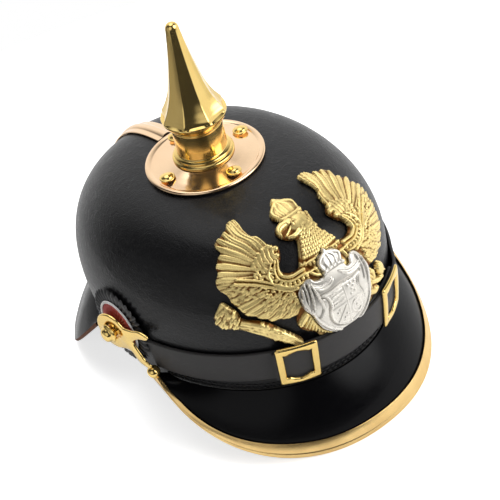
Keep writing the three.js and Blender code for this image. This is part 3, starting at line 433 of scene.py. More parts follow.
# lower edge of the rear peak from the middle of the back round to the side: x, y, z
REAR_EDGE = [
    (0, 120, 0), (32, 115.3, 0), (58, 101, 0), (73, 82, 2), (79.5, 65, 15), (80, 51, 28), (77, 40, 39)]
PATH_PLACES = 2001  # finely numbered places along the rear edge
PEAK_PLACES = 121
SEAM_LIFT = 0.3
FULL_BULGE_LENGTH = 30  # a shorter stretch of the peak bulges less


def front_edge(along):
    angle = along * np.pi / 2
    power = 2 / FRONT["roundness"]
    sideways = np.sign(angle) * np.abs(np.sin(angle)) ** power
    forward = np.abs(np.cos(angle)) ** power
    y = FRONT["end_y"] + (FRONT["front_y"] - FRONT["end_y"]) * forward
    z = FRONT["end_height"] * np.abs(along) ** FRONT["rise"]
    return np.stack([FRONT["half_width"] * sideways, y, z], -1)


rear_line = [(-x, y, z) for x, y, z in REAR_EDGE[:0:-1]] + REAR_EDGE
rear_path = spline(rear_line, PATH_PLACES)
rear_path[:, 2] = np.maximum(0, rear_path[:, 2])


def rear_edge(along):
    place = (np.asarray(along) + 1) / 2 * (PATH_PLACES - 1)
    return np.stack([np.interp(place, np.arange(PATH_PLACES), rear_path[:, k]) for k in range(3)], -1)


def peak_frames(size, seam_turn, edge, along):
    along = np.asarray(along, float)
    level = np.full_like(along, SEAM_HEIGHT)
    start = on_skull(seam_turn(along), level, np.full_like(along, SEAM_LIFT))
    end = edge(along)
    sideways = edge(np.minimum(1, along + 0.01)) - edge(np.maximum(-1, along - 0.01))
    down = end - start
    normal = unit(np.cross(sideways, down))
    normal *= np.where(normal[:, 2:] < 0, -1, 1)
    length = np.linalg.norm(down, axis=-1)
    return start, end, normal, length, size["bulge"] * np.minimum(1, length / FULL_BULGE_LENGTH)


def on_peak(frames, from_edge, lift):
    start, end, normal, length, bulge = frames
    share = (1 - np.asarray(from_edge) / length)[:, None]
    bend = bulge[:, None] * 4 * share * (1 - share)
    return start + (end - start) * share + normal * (np.asarray(lift) + bend)


def front_turn(along):
    return along * FRONT["seam_turn"]


def rear_turn(along):
    return 180 - along * REAR["seam_turn"]


def eased(count):
    even = np.linspace(-1, 1, count)
    return (even + np.sin(even * np.pi / 2)) / 2


front_frames = peak_frames(FRONT, front_turn, front_edge, eased(PEAK_PLACES))
rear_frames = peak_frames(REAR, rear_turn, rear_edge, eased(PEAK_PLACES))
print("front peak length, mm:", round(float(front_frames[3].max()), 1))

# %% Leather peaks
FACE_ROWS, NOSE, NOSE_STEPS = 16, 0.45, (0.15, 0.4, 0.6, 0.85)


def peak_piece(name, frames, thickness, inset, stands_for, edge_material=None):
    length = frames[3]
    places = np.linspace(1, 0, FACE_ROWS)
    section_points = [(s, 0.0, thickness) for s in places]
    section_points += [
        (0, -NOSE * (1 - (2 * t - 1) ** 2) - 0.02, thickness * (1 - t)) for t in NOSE_STEPS]
    section_points += [(s, 0.0, 0.0) for s in places[::-1]]
    columns = []
    for s, shift, lift in section_points:
        from_edge = inset + (length - inset) * s + shift
        columns.append(on_peak(frames, from_edge, np.full(len(length), lift)[:, None]))
    mesh = swept(name, np.stack(columns, 1))
    if edge_material:
        mesh.materials.append(patent_leather)
        mesh.materials.append(edge_material)
        ring = len(section_points)
        for face in mesh.polygons:
            column = sorted(v % ring for v in face.vertices)
            on_cut_edge = FACE_ROWS - 1 <= column[0] and column[-1] <= FACE_ROWS + len(NOSE_STEPS)
            if len(face.vertices) == 4 and on_cut_edge:
                face.material_index = 1
    return finish_piece(name, mesh, patent_leather, stands_for, 40)


peak_piece("leather_front_peak", front_frames, FRONT["thickness"], 1.8, ("front_peak",))
peak_piece("leather_rear_peak", rear_frames, REAR["thickness"], 0.0, ("rear_peak",), cut_leather)

# %% [markdown]
# ## Brass edging
# The front peak's edge is bound in a brass channel, folded from sheet, with a rolled lip. Its
# section is rounded, then carried along the peak's frames; towards its ends it narrows.

# %% Peak edging and its rivets
TOP_LEG, LOWER_LEG, LIP, CLEAR, METAL = 9.5, 5.0, 1.5, 0.58, 0.6
top = FRONT["thickness"] + CLEAR
outline = rounded([
    (TOP_LEG, top + METAL), (TOP_LEG, top), (LIP, top), (LIP, -CLEAR), (LOWER_LEG, -CLEAR),
    (LOWER_LEG, -CLEAR - METAL), (LIP * 0.6, -CLEAR - METAL), (0, 0), (0, top * 0.7),
    (LIP * 0.6, top + METAL + 0.25), (LIP * 1.9, top + METAL + 0.12), (LIP * 2.3, top + METAL),
], 0.5, 3)
TAPER_START, TAPER = 0.35, 0.62
near_end = np.clip((np.abs(eased(PEAK_PLACES)) - TAPER_START) / 0.65, 0, 1)
narrowing = 1 - TAPER * near_end**2 * (3 - 2 * near_end)
squeeze = np.minimum(1, 0.6 * front_frames[3] / TOP_LEG) * narrowing
rows = np.stack([
    on_peak(front_frames, x * squeeze, np.full(len(squeeze), y)[:, None]) for x, y in outline], 1)
finish_piece("brass_peak_edging", swept("edging", rows), edging_brass, ("peak_trim",), 50)

RIVET_RADIUS, RIVET_RISE, RIVET_SEAT = 3.9, 3.6, 1.4
SIDES = ((-1, "left"), (1, "right"))
for side, name in SIDES:
    frames = peak_frames(FRONT, front_turn, front_edge, np.array([float(side)]))
    seat = on_peak(frames, np.zeros(1), np.array([[top + METAL + RIVET_SEAT]]))[0]
    dome = [(RIVET_RADIUS * math.cos(a), RIVET_RISE * math.sin(a)) for a in np.linspace(0.1, 1.45, 10)]
    profile = [(RIVET_RADIUS, -0.6), (RIVET_RADIUS, 0)] + dome
    mesh = turned("rivet", rounded(profile, 0.3, 2, closed=False), 48)
    turn = Vector((0, 0, 1)).rotation_difference(Vector(frames[2][0])).to_matrix().to_4x4()
    mesh.transform(Matrix.Translation(Vector(seat * MM)) @ turn)
    finish_piece(f"edging_rivet_{name}", mesh, gold_brass, (f"trim_rivet_{name}",), 50)

# %% [markdown]
# ## Spike, neck and base
# These are spun brass, so a turned profile makes them. Each profile is rounded, because a
# spun edge is never knife sharp, and a rolled rim catches a thin bright line.

# %% Turned base and neck
SEAT_GAP = 0.3  # what each piece keeps from the one that carries it
BASE_RISE, NECK_RISE = 3.4, 21.4
BASE_Z = CROWN + SEAT_GAP
NECK_Z = BASE_Z + BASE_RISE + SEAT_GAP
# profiles: radius, height above the piece's own foot
BASE_PROFILE = [
    (31, 0), (32.6, -0.44), (34.2, -0.4), (34.8, 0.5), (34.2, 1.5), (32.9, 1.8), (31.6, 1.3), (30.9, 0.9),
    (27, 1.35), (22, 2.3), (19, 3.1), (17.8, BASE_RISE)]
NECK_PROFILE = [
    (17.8, 0), (17.8, 1.6), (16.4, 2.3), (16.3, 2.6), (16.8, 3.5), (15.8, 4.4), (14.6, 4.9), (14.5, 6),
    (14.5, 20.6), (14.9, 21.0), (14.7, NECK_RISE)]


def from_foot(profile, foot):
    return [(radius, foot + height) for radius, height in profile]


mesh = turned("base", rounded(from_foot(BASE_PROFILE, BASE_Z), 1.2, 3, closed=False), 144)
finish_piece("brass_spike_base", mesh, rose_brass, ("spike_base",), 60)
mesh = turned("neck", rounded(from_foot(NECK_PROFILE, NECK_Z), 0.6, 3, closed=False), 128)
finish_piece("brass_spike_neck", mesh, gold_brass, ("spike_neck",), 60)

# %% [markdown]
# ## The fluted spike
# Its shape follows a rule, so Geometry Nodes make it: a flat grid is wrapped round the axis,
# one curve gives the radius at each height, and another says how deep the flutes are cut.

# %% Geometry Nodes helpers
def geometry_tree(name, inputs):
    """inputs: label to (socket type, value). Returns the tree, its input node and output socket."""
    tree = bpy.data.node_groups.new(name, "GeometryNodeTree")
    tree.interface.new_socket("Geometry", in_out="INPUT", socket_type="NodeSocketGeometry")
    for label, (kind, value) in inputs.items():
        socket = tree.interface.new_socket(label, in_out="INPUT", socket_type="NodeSocket" + kind)
        if value is not None:
            socket.default_value = value
    tree.interface.new_socket("Geometry", in_out="OUTPUT", socket_type="NodeSocketGeometry")
    return tree, tree.nodes.new("NodeGroupInput").outputs, tree.nodes.new("NodeGroupOutput").inputs[0]


def run_tree(name, tree, values, base=None):
    """Puts the tree on an object, sets its inputs and returns the result as a plain mesh."""
    holder = bpy.data.objects.new(name, base or bpy.data.meshes.new(name))
    bpy.context.scene.collection.objects.link(holder)
    modifier = holder.modifiers.new("shape", "NODES")
    modifier.node_group = tree
    sockets = {s.name: s.identifier for s in tree.interface.items_tree if s.in_out == "INPUT"}
    for label, value in values.items():
        modifier[sockets[label]] = value
    evaluated = holder.evaluated_get(bpy.context.evaluated_depsgraph_get())
    mesh = bpy.data.meshes.new_from_object(evaluated)
    holder.modifiers.clear()
    bpy.data.objects.remove(holder)
    return mesh


def float_curve(tree, value, points):
    node = add(tree, "ShaderNodeFloatCurve", {"Value": value})
    curve = node.mapping.curves[0]
    for x, y in points[1:-1]:
        curve.points.new(x, y)
    curve.points[0].location, curve.points[-1].location = points[0], points[-1]
    node.mapping.update()
    return node.outputs[0]


def product(tree, first, *others):
    for other in others:
        first = maths(tree, "MULTIPLY", first, other)
    return first


def grid_of(tree, rows, columns):
    """A flat grid one unit wide: its x and y are then bent into a shape. Returns grid, x and y."""
    flat = add(tree, "GeometryNodeMeshGrid", {
        "Size X": 1.0, "Size Y": 1.0, "Vertices X": rows, "Vertices Y": maths(tree, "ADD", columns, 1.0)})
    position = add(tree, "GeometryNodeInputPosition").outputs[0]
    place = add(tree, "ShaderNodeSeparateXYZ", {0: position})
    return flat.outputs["Mesh"], place.outputs["X"], place.outputs["Y"]


def finish_tree(tree, geometry, material, result):
    real = add(tree, "GeometryNodeRealizeInstances", {"Geometry": geometry})
    coloured = add(tree, "GeometryNodeSetMaterial", {"Geometry": real.outputs[0], "Material": material})
    tree.links.new(coloured.outputs[0], result)


def bend_and_finish(tree, grid, place, weld, material, result):
    """Moves the grid to its places, welds its seam and gives it its material."""
    bent = add(tree, "GeometryNodeSetPosition", {"Geometry": grid, "Position": place})
    welded = add(tree, "GeometryNodeMergeByDistance", {"Geometry": bent.outputs[0], "Distance": weld})
    finish_tree(tree, welded.outputs[0], material, result)


def closed_outwards(mesh, close):
    """Closes the open edges with one of bmesh's operators and points every face outwards."""
    work = bmesh.new()
    work.from_mesh(mesh)
    open_edges = [e for e in work.edges if e.is_boundary]
    if open_edges:
        close(work, edges=open_edges)
    bmesh.ops.recalc_face_normals(work, faces=work.faces)
    work.to_mesh(mesh)
    work.free()
    return mesh


print("geometry helpers ready")

# %% Fluted spike
SPIKE_RADIUS, SPIKE_HEIGHT, SPIKE_Z = 18.7, 65.4, NECK_Z + NECK_RISE + SEAT_GAP
FLUTE_CUT, FLUTE_TURN = 0.105, math.radians(-8.6)
# share of the height, share of the full radius
SPIKE_OUTLINE = [
    (0, 0.79), (0.02, 0.84), (0.045, 0.915), (0.075, 0.98), (0.1, 1.0), (0.122, 0.985), (0.16, 0.91),
    (0.22, 0.79), (0.34, 0.62), (0.54, 0.455), (0.74, 0.32), (0.9, 0.235), (0.95, 0.205), (0.98, 0.155),
    (0.994, 0.085), (1.0, 0.0)]
# share of the height, share of the full cut
FLUTE_DEPTH = [(0, 0.0), (0.098, 0.0), (0.112, 1.0), (0.6, 1.0), (0.93, 0.5), (0.985, 0.0), (1, 0.0)]

tree, inputs, result = geometry_tree("Fluted spike", {
    "Radius": ("Float", 0.0187), "Height": ("Float", 0.065), "Foot": ("Float", 0.16),
    "Flutes": ("Int", 8), "Depth": ("Float", 0.12), "Turn": ("Float", 0.0), "Rows": ("Int", 200),
    "Sides": ("Int", 192), "Material": ("Material", None)})
grid, grid_x, grid_y = grid_of(tree, inputs["Rows"], inputs["Sides"])
rise = maths(tree, "ADD", grid_x, 0.5)
angle = maths(tree, "MULTIPLY", grid_y, 2 * math.pi)
from_ridge = maths(tree, "DIVIDE", maths(tree, "SUBTRACT", angle, inputs["Turn"]), 2 * math.pi)
flute = product(tree, from_ridge, inputs["Flutes"])
within = maths(tree, "FRACT", maths(tree, "ADD", flute, 64.0))
across = maths(tree, "MULTIPLY_ADD", within, 2.0, -1.0)
scoop = maths(tree, "SUBTRACT", 1.0, product(tree, across, across))
depth = product(tree, float_curve(tree, rise, FLUTE_DEPTH), inputs["Depth"])
cut = maths(tree, "SUBTRACT", 1.0, product(tree, depth, scoop))
reach = product(tree, float_curve(tree, rise, SPIKE_OUTLINE), cut, inputs["Radius"])
backwards = product(tree, maths(tree, "COSINE", angle), -1.0)
point = add(tree, "ShaderNodeCombineXYZ", {
    0: product(tree, reach, maths(tree, "SINE", angle)),
    1: product(tree, reach, backwards),
    2: maths(tree, "MULTIPLY_ADD", rise, inputs["Height"], inputs["Foot"])})
bend_and_finish(tree, grid, point.outputs[0], 0.00001, inputs["Material"], result)
mesh = run_tree("spike", tree, {
    "Radius": SPIKE_RADIUS * MM, "Height": SPIKE_HEIGHT * MM, "Foot": SPIKE_Z * MM,
    "Depth": FLUTE_CUT, "Turn": FLUTE_TURN, "Material": gold_brass})
mesh = closed_outwards(mesh, bmesh.ops.holes_fill)
finish_piece("brass_spike", mesh, gold_brass, ("spike_point",), 24)

# %% [markdown]
# ## Domed studs on the base
# Four small studs hold the base plate down: a low flange with a dome on it. They are one
# turned shape set on four places round a circle, and each is a piece of its own because each
# could be drilled out and replaced alone.

# %% Base studs
STUD_CIRCLE, STUD_RADIUS, STUD_RISE = 26.8, 3.4, 1.6
PLATE_UNDER_STUD = 1.2 + 2.2 * 0.45  # how high the base plate stands there
stud_z = BASE_Z + PLATE_UNDER_STUD + SEAT_GAP
stud_profile = [(4.3, 0), (4.5, 0.5), (4.3, 0.9), (3.7, 0.95), (3.5, 1.0)]
stud_profile += [
    (STUD_RADIUS * math.cos(a), 1.0 + STUD_RISE * math.sin(a)) for a in np.linspace(0.12, 1.5, 12)]
for quarter, place in enumerate(("front", "right", "back", "left")):
    mesh = turned("stud", rounded(stud_profile, 0.25, 2, closed=False), 40)
    angle = quarter * math.pi / 2
    shift = Vector((STUD_CIRCLE * math.sin(angle), -STUD_CIRCLE * math.cos(angle), stud_z)) * MM
    mesh.transform(Matrix.Translation(shift))
    finish_piece(f"base_stud_{place}", mesh, gold_brass, (f"base_stud_{place}",), 50)

# %% [markdown]
# ## The rear spine
# A rail down the back, pressed from sheet with a raised rib. Its path follows the skull and
# then the rear peak, and one rounded section is carried along it.

# %% Rear spine
SPINE_ROWS, SPINE_PLACES = 90, 110
SPINE_TOP, SPINE_FOOT = 0.985, 0.13  # shares of the skull's height
SPINE_START_Y = 35.5  # just behind the spike's base
share_down = np.sin(np.linspace(np.arcsin(SPINE_TOP), np.arcsin(SPINE_FOOT), SPINE_ROWS))
down_back = skin(np.full(SPINE_ROWS, np.pi), share_down)
middle = peak_frames(REAR, rear_turn, rear_edge, np.array([0.0]))
peak_top = np.array([[REAR["thickness"]]])
over_peak = np.vstack([on_peak(middle, middle[3] * s, peak_top) for s in np.linspace(0.8, 0.08, 9)])
path = np.vstack([down_back, over_peak])
path = path[path[:, 1] > SPINE_START_Y]
arc = np.concatenate([[0], np.cumsum(np.linalg.norm(np.diff(path, axis=0), axis=1))])
even = np.linspace(0, arc[-1], SPINE_PLACES)
path = np.stack([np.interp(even, arc, path[:, k]) for k in range(3)], 1)
for _ in range(3):
    path[1:-1] = (path[:-2] + 2 * path[1:-1] + path[2:]) / 4
along = unit(np.gradient(path, axis=0))
outwards = np.stack([np.zeros(len(path)), -along[:, 2], along[:, 1]], -1)
rib = rounded([
    (-6.5, 0.4), (6.5, 0.4), (6.5, 1.4), (3.1, 1.4), (2.3, 2.3), (1.2, 2.85), (-1.2, 2.85), (-2.3, 2.3),
    (-3.1, 1.4), (-6.5, 1.4)], 0.5, 3)
rows = path[:, None] + rib[None, :, :1] * np.array([1, 0, 0]) + rib[None, :, 1:] * outwards[:, None]
finish_piece("brass_rear_spine", swept("spine", rows), rose_brass, ("rear_spine",), 50)

# %% [markdown]
# ## The chin strap
# Two lengths of leather overlap across the front. Each is a flat section with rounded edges,
# carried round the skull so that its faces lie along the leather under them. The upper length
# is lifted over the lower one where they cross.

# %% Leather chin strap
STRAP_WIDTH, STRAP_THICK, STRAP_LIFT = 21.5, 1.9, 0.6
# height over the rim halfway round to the side, and how far it rises in front and falls beside
STRAP_LEVEL, STRAP_WAVE = 15.5, 2.5
STRAP_END, OVERLAP_END, EASE_START, EASE_LENGTH = 77, 32, 33, 13  # degrees from the front
STRAP_PLACES = 150


def strap_height(turn):
    angle = np.radians(turn)
    return STRAP_LEVEL + STRAP_WAVE * np.cos(angle) ** 2 - STRAP_WAVE * np.sin(angle) ** 2


def strap_piece(name, start, end, layer, stands_for):
    turn = np.linspace(start, end, STRAP_PLACES)
    ease = np.clip((turn - EASE_START) / EASE_LENGTH, 0, 1)
    over = 1 - ease * ease * (3 - 2 * ease)
    lift = STRAP_LIFT + layer * over * (STRAP_THICK + SEAT_GAP)
    edge = rounded([(0, 0), (STRAP_WIDTH, 0), (STRAP_WIDTH, STRAP_THICK), (0, STRAP_THICK)], 0.7, 4)
    across = np.linspace(0.06, 0.94, 8) * STRAP_WIDTH
    low_face = [(x, 0.0) for x in across]
    high_face = [(x, STRAP_THICK) for x in across[::-1]]
    corner = lambda a, b: [tuple(p) for p in edge[a:b]]
    outline = low_face + corner(5, 15) + high_face + corner(15, 20) + corner(0, 5)
    rows = np.stack([
        on_skull(turn, strap_height(turn) + x, lift + y) for x, y in outline], 1)
    return finish_piece(name, swept(name, rows), strap_leather, (stands_for,), 60)


strap_piece("leather_strap_under", -STRAP_END, OVERLAP_END, 0, "strap_under")
strap_piece("leather_strap_over", -OVERLAP_END, STRAP_END, 1, "strap_over")

# %% [markdown]
# ## Buckles
# Each slider is a cast brass frame with a bowed window. The frame's section is a rounded bar
# carried round the window, then wrapped onto the strap.

# %% Brass buckles
OUTLINE_PLACES, BAR_PLACES = 120, 200


def even_outline(corners, radius):
    pts = rounded(corners, radius, 6)
    closed = np.vstack([pts, pts[:1]])
    arc = np.concatenate([[0], np.cumsum(np.hypot(*np.diff(closed, axis=0).T))])
    even = np.linspace(0, arc[-1], OUTLINE_PLACES, endpoint=False)
    return np.stack([np.interp(even, arc, closed[:, k]) for k in range(2)], 1)


def by_angle(pts, wanted):
    """The same outline at wanted angles round its middle, so that two outlines can be joined."""
    angles = np.arctan2(pts[:, 1], pts[:, 0]) % (2 * np.pi)
    order = np.argsort(angles)
    angles, pts = angles[order], pts[order]
    wrapped_angles = np.concatenate([angles[-1:] - 2 * np.pi, angles, angles[:1] + 2 * np.pi])
    wrapped_pts = np.vstack([pts[-1:], pts, pts[:1]])
    return np.stack([np.interp(wanted, wrapped_angles, wrapped_pts[:, k]) for k in range(2)], 1)


FRAME_CORNERS = [(-13, -14), (0, -14), (13, -14), (13, 0), (13, 14), (0, 14), (-13, 14), (-13, 0)]
# one quarter of the window, from the middle of its side to the middle of its bowed top
WINDOW_QUARTER = [(8.5, 0), (8.7, 9.3), (6.6, 8.5), (5.0, 9.7), (0, 10.9)]
window_corners = []
for sx, sy in ((1, -1), (1, 1), (-1, 1), (-1, -1)):
    window_corners += [(sx * x, sy * y) for x, y in WINDOW_QUARTER][::sx * sy][:-1]
# the bar's section: share of the way from the outer edge to the window, height
BAR = [(0.0, 0.0), (0.0, 0.9), (0.12, 1.35), (0.3, 1.6), (0.5, 1.66), (0.7, 1.6), (0.88, 1.35), (1.0, 0.9),
       (1.0, 0.0)]
BUCKLE_TURN, DEGREES_PER_MM = 23.4, 0.57
for side, name in SIDES:
    outer, inner = even_outline(FRAME_CORNERS, 1.3), even_outline(window_corners, 0.9)
    match = np.linspace(0, 2 * np.pi, BAR_PLACES, endpoint=False)
    outer, inner = (by_angle(pts, match) for pts in (outer, inner))
    centre = strap_height(BUCKLE_TURN) + STRAP_WIDTH / 2
    lift = STRAP_LIFT + 2 * (STRAP_THICK + SEAT_GAP) + 0.35
    rows = []
    for share, up in BAR:
        flat = outer * (1 - share) + inner * share
        turn = side * BUCKLE_TURN + flat[:, 0] * DEGREES_PER_MM
        rows.append(on_skull(turn, centre + flat[:, 1], np.full(len(flat), lift + up)))
    mesh = ring_mesh("buckle", rows, close_path=True)
    finish_piece(f"brass_buckle_{name}", mesh, gold_brass, (f"buckle_{name}",), 60)

# %% [markdown]
# ## Cockades
# A cockade is a pleated disc. The pleats repeat round the centre, so Geometry Nodes push a
# flat ring up and down as a function of the angle: named inputs say how many pleats there are
# and how deep they lie, and the outer edge runs out into teeth.

# %% Side plane and pleated rings
SIDE_TURN, SIDE_HEIGHT = np.array([-90.0]), np.array([34.0])


def side_matrix(side, lift, lean=0.0):
    """Plane of the side fittings: x towards the face, y up, z out of the skull."""
    seat = on_skull(SIDE_TURN, SIDE_HEIGHT, np.zeros(1))[0]
    normal = skin_normal(np.radians(SIDE_TURN), share_at(SIDE_HEIGHT))[0]
    normal = Vector((normal[0], normal[1], 0)).normalized()
    seat = Vector(seat) + normal * lift
    normal = Matrix.Rotation(math.radians(lean), 3, "Z") @ normal
    up = Vector((0, 0, 1))
    forward = up.cross(normal)
    frame_matrix = Matrix((forward, up, normal)).transposed().to_4x4()
    place = Matrix.Translation(seat * MM) @ frame_matrix
    return place if side < 0 else Matrix.Scale(-1, 4, (1, 0, 0)) @ place


def set_on_side(mesh, side, lift, lean=0.0):
    """Moves a flat piece to its side; the right side is a mirror image, so its faces turn over."""
    mesh.transform(side_matrix(side, lift, lean))
    if side > 0:
        mesh.flip_normals()
    return mesh


tree, inputs, result = geometry_tree("Pleated ring", {
    "Inner": ("Float", 0.004), "Outer": ("Float", 0.026), "Thickness": ("Float", 0.0012),
    "Pleats": ("Int", 36), "Pleat height": ("Float", 0.0004), "Tooth": ("Float", 0.002),
    "Rows": ("Int", 8), "Sides": ("Int", 432), "Material": ("Material", None)})
both_faces = maths(tree, "MULTIPLY_ADD", inputs["Rows"], 2.0, 1.0)
grid, grid_x, grid_y = grid_of(tree, both_faces, inputs["Sides"])
loop = product(tree, grid_x, 2.0)
across = maths(tree, "SUBTRACT", 1.0, maths(tree, "ABSOLUTE", loop))
face = maths(tree, "MAXIMUM", maths(tree, "SIGN", loop), 0.0)
angle = product(tree, grid_y, 2 * math.pi)
wave = maths(tree, "COSINE", product(tree, angle, inputs["Pleats"]))
near_rim = maths(tree, "POWER", across, 6.0)
tooth = product(tree, inputs["Tooth"], near_rim, maths(tree, "MULTIPLY_ADD", wave, 0.5, -0.5))
breadth = maths(tree, "SUBTRACT", inputs["Outer"], inputs["Inner"])
reach = maths(tree, "ADD", maths(tree, "MULTIPLY_ADD", across, breadth, inputs["Inner"]), tooth)
fade = maths(tree, "MINIMUM", 1.0, product(tree, across, 3.0))
pleat = product(tree, wave, inputs["Pleat height"], fade)
upper = product(tree, face, maths(tree, "ADD", inputs["Thickness"], pleat))
point = add(tree, "ShaderNodeCombineXYZ", {
    0: product(tree, reach, maths(tree, "COSINE", angle)),
    1: product(tree, reach, maths(tree, "SINE", angle)), 2: upper})
bend_and_finish(tree, grid, point.outputs[0], 0.000005, inputs["Material"], result)

DISC_LIFT, DISC_THICK = 0.9, 1.2
TOP_LIFT = DISC_LIFT + DISC_THICK + SEAT_GAP
# node, slot, lift, finish, inner and outer radius, thickness, pleats, pleat height, tooth
COCKADE_RINGS = [
    ("cockade", "black_cockade", DISC_LIFT, black_enamel, 4.2, 24.8, 0.9, 36, 0.35, 2.4),
    ("cockade_white", "white_cockade", TOP_LIFT, white_enamel, 15.3, 16.9, 0.6, 36, 0.1, 0.0),
    ("cockade_red", "red_cockade", TOP_LIFT, red_enamel, 4.2, 15.0, 0.7, 36, 0.22, 0.0),
]
for side, name in SIDES:
    for label, slot, lift, finish, inner, outer, thick, pleats, deep, tooth in COCKADE_RINGS:
        mesh = run_tree(label, tree, {
            "Inner": inner * MM, "Outer": outer * MM, "Thickness": thick * MM, "Pleats": pleats,
            "Pleat height": deep * MM, "Tooth": tooth * MM, "Material": finish})
        mesh = set_on_side(closed_outwards(mesh, bmesh.ops.bridge_loops), side, lift)
        finish_piece(f"{label}_{name}_pleated", mesh, finish, (f"{label}_{name}",), 45)

# %% [markdown]
# ## Strap forks and side nuts
# The strap ends in a brass ring with two prongs, held by a domed nut on the side post. The
# ring and prongs are one smooth outline, cut from thick sheet and rounded over.

# %% Side forks and posts
# prongs of the fork from the ring's upper side round to its lower side: forward, up
PRONGS = [
    (10.5, 6.6), (17, 7.5), (23, 9.4), (29.5, 8.2), (28.2, 5.2), (22, 3.4), (16.6, -0.4), (15.8, -3.2),
    (19.5, -9.8), (21.5, -13), (25.6, -15.6), (23.4, -18.4), (16.4, -16), (12, -9.6)]
RING_RADIUS, HOLE_RADIUS, FORK_PLACES = 11.8, 4.2, 190
arc = [
    (RING_RADIUS * math.cos(math.radians(a)), RING_RADIUS * math.sin(math.radians(a)))
    for a in np.linspace(-62, -318, 22)]
fork_outline = spline(arc + PRONGS, FORK_PLACES, closed=True)[::-1]
around = np.linspace(0, 2 * np.pi, FORK_PLACES, endpoint=False)
hole = np.stack([HOLE_RADIUS * np.cos(around), HOLE_RADIUS * np.sin(around)], 1)


def inset_outline(outline, amount):
    ahead, behind = np.roll(outline, -1, 0), np.roll(outline, 1, 0)
    way = ahead - behind
    way /= np.maximum(1e-9, np.hypot(*way.T))[:, None]
    return outline + np.stack([-way[:, 1], way[:, 0]], 1) * amount


def flat_plate(name, outline, inner, layers):
    """A flat piece with one hole: layers give (inset, height) up its outer and inner edge."""
    work = bmesh.new()
    outer_rings, inner_rings = [], []
    for amount, z in layers:
        for source, rings_list, sign in ((outline, outer_rings, 1), (inner, inner_rings, -1)):
            pts = inset_outline(source, amount * sign)
            rings_list.append([work.verts.new((x * MM, y * MM, z * MM)) for x, y in pts])
    for rings_list in (outer_rings, inner_rings):
        for low, high in zip(rings_list, rings_list[1:]):
            count = len(low)
            for k in range(count):
                n = (k + 1) % count
                work.faces.new((low[k], low[n], high[n], high[k]))
    for level in (0, -1):
        edges = []
        for ring in (outer_rings[level], inner_rings[level]):
            edges += [work.edges.get((ring[k - 1], ring[k])) for k in range(len(ring))]
        bmesh.ops.triangle_fill(work, edges=edges, use_beauty=True)
    bmesh.ops.recalc_face_normals(work, faces=work.faces)
    mesh = bpy.data.meshes.new(name)
    work.to_mesh(mesh)
    work.free()
    return mesh


FORK_LIFT, FORK_LEAN = 6.6, 9.5
FORK_LAYERS = [(0.0, 0.25), (0.0, 0.9), (0.25, 1.3), (0.6, 1.5)]
collar = DISC_LIFT + DISC_THICK + 0.9 + 0.6
POST_PROFILE = [
    (0.05, 0.3), (3.6, 0.3), (3.6, collar), (5.6, collar), (5.6, 5.4), (3.6, 5.4), (3.6, 9.3), (5.6, 9.3),
    (6.0, 9.6), (6.05, 10.3), (5.4, 10.9), (4.6, 11.4), (4.3, 12.4), (3.7, 13.4), (2.4, 14.1),
    (1.0, 14.35), (0.4, 14.3)]
for side, name in SIDES:
    mesh = set_on_side(flat_plate("fork", fork_outline, hole, FORK_LAYERS), side, FORK_LIFT, FORK_LEAN)
    finish_piece(f"brass_fork_{name}", mesh, gold_brass, (f"strap_fork_{name}",), 35)
    mesh = turned("post", rounded(POST_PROFILE, 0.3, 2, closed=False), 56)
    mesh = set_on_side(mesh, side, 0)
    finish_piece(f"brass_side_nut_{name}", mesh, gold_brass, (f"side_post_{name}",), 45)

# %% [markdown]
# ## Laying the badge on the skull
# The badge is stamped flat and then bent to the skull. Its relief is worked out on a flat
# grid, x across and y up, and each point is carried along the badge's own direction until it
# meets the skull.

# %% Badge plane
BADGE_TILT, BADGE_Y, BADGE_Z, BADGE_LIFT, BADGE_PLATE = math.radians(39), -98, RIM + 72, 1.1, 1.3
SEARCH_REACH, HALVINGS = 45.0, 24  # how far, and how finely, the skull is looked for
STRAP_CLEARANCE = 0.5
badge_up = np.array([0, math.sin(BADGE_TILT), math.cos(BADGE_TILT)])
badge_out = np.array([0, -math.cos(BADGE_TILT), math.sin(BADGE_TILT)])


def badge_seat(x, y):
    """Where flat badge places meet the skull, and the skull's normals there."""
    middle_line = np.stack([x, np.full_like(x, BADGE_Y), np.full_like(x, BADGE_Z)], -1)
    start = middle_line + badge_up * y[..., None]
    low, high = np.full(x.shape, -SEARCH_REACH), np.full(x.shape, SEARCH_REACH)
    for _ in range(HALVINGS):
        middle = (low + high) / 2
        out_of_skull = outside(start + badge_out * middle[..., None]) > 0
        high = np.where(out_of_skull, middle, high)
        low = np.where(out_of_skull, low, middle)
    seat = start + badge_out * low[..., None]
    step = 0.05
    slope = [outside(seat + step * axis) - outside(seat - step * axis) for axis in np.eye(3)]
    return seat, unit(np.stack(slope, -1))


def over_strap(seat):
    """How far a seat lies below the badge's lower stop, just over the strap; negative is clear."""
    side, front, _ = section(share_at(seat[..., 2] - RIM))
    turn = np.degrees(np.arctan2(seat[..., 0] / side, (CENTRE_Y - seat[..., 1]) / front))
    return strap_height(turn) + STRAP_WIDTH + STRAP_CLEARANCE - (seat[..., 2] - RIM)


def signed_distance(x, y, outline):
    """Distance from an outline, negative inside it."""
    a = np.array(outline, float)
    b = np.roll(a, -1, 0)
    best = np.full(x.shape, 1e9)
    inside = np.zeros(x.shape, bool)
    for (ax, ay), (bx, by) in zip(a, b):
        ex, ey = bx - ax, by - ay
        t = np.clip(((x - ax) * ex + (y - ay) * ey) / max(1e-9, ex * ex + ey * ey), 0, 1)
        best = np.minimum(best, np.hypot(x - ax - t * ex, y - ay - t * ey))
        if abs(ey) > 1e-9:
            crosses = (ay > y) != (by > y)
            inside ^= crosses & (x < ax + (y - ay) * ex / ey)
    return np.where(inside, -best, best)


def smooth_outline(points, steps=5):
    return spline(points, len(points) * steps, closed=True)


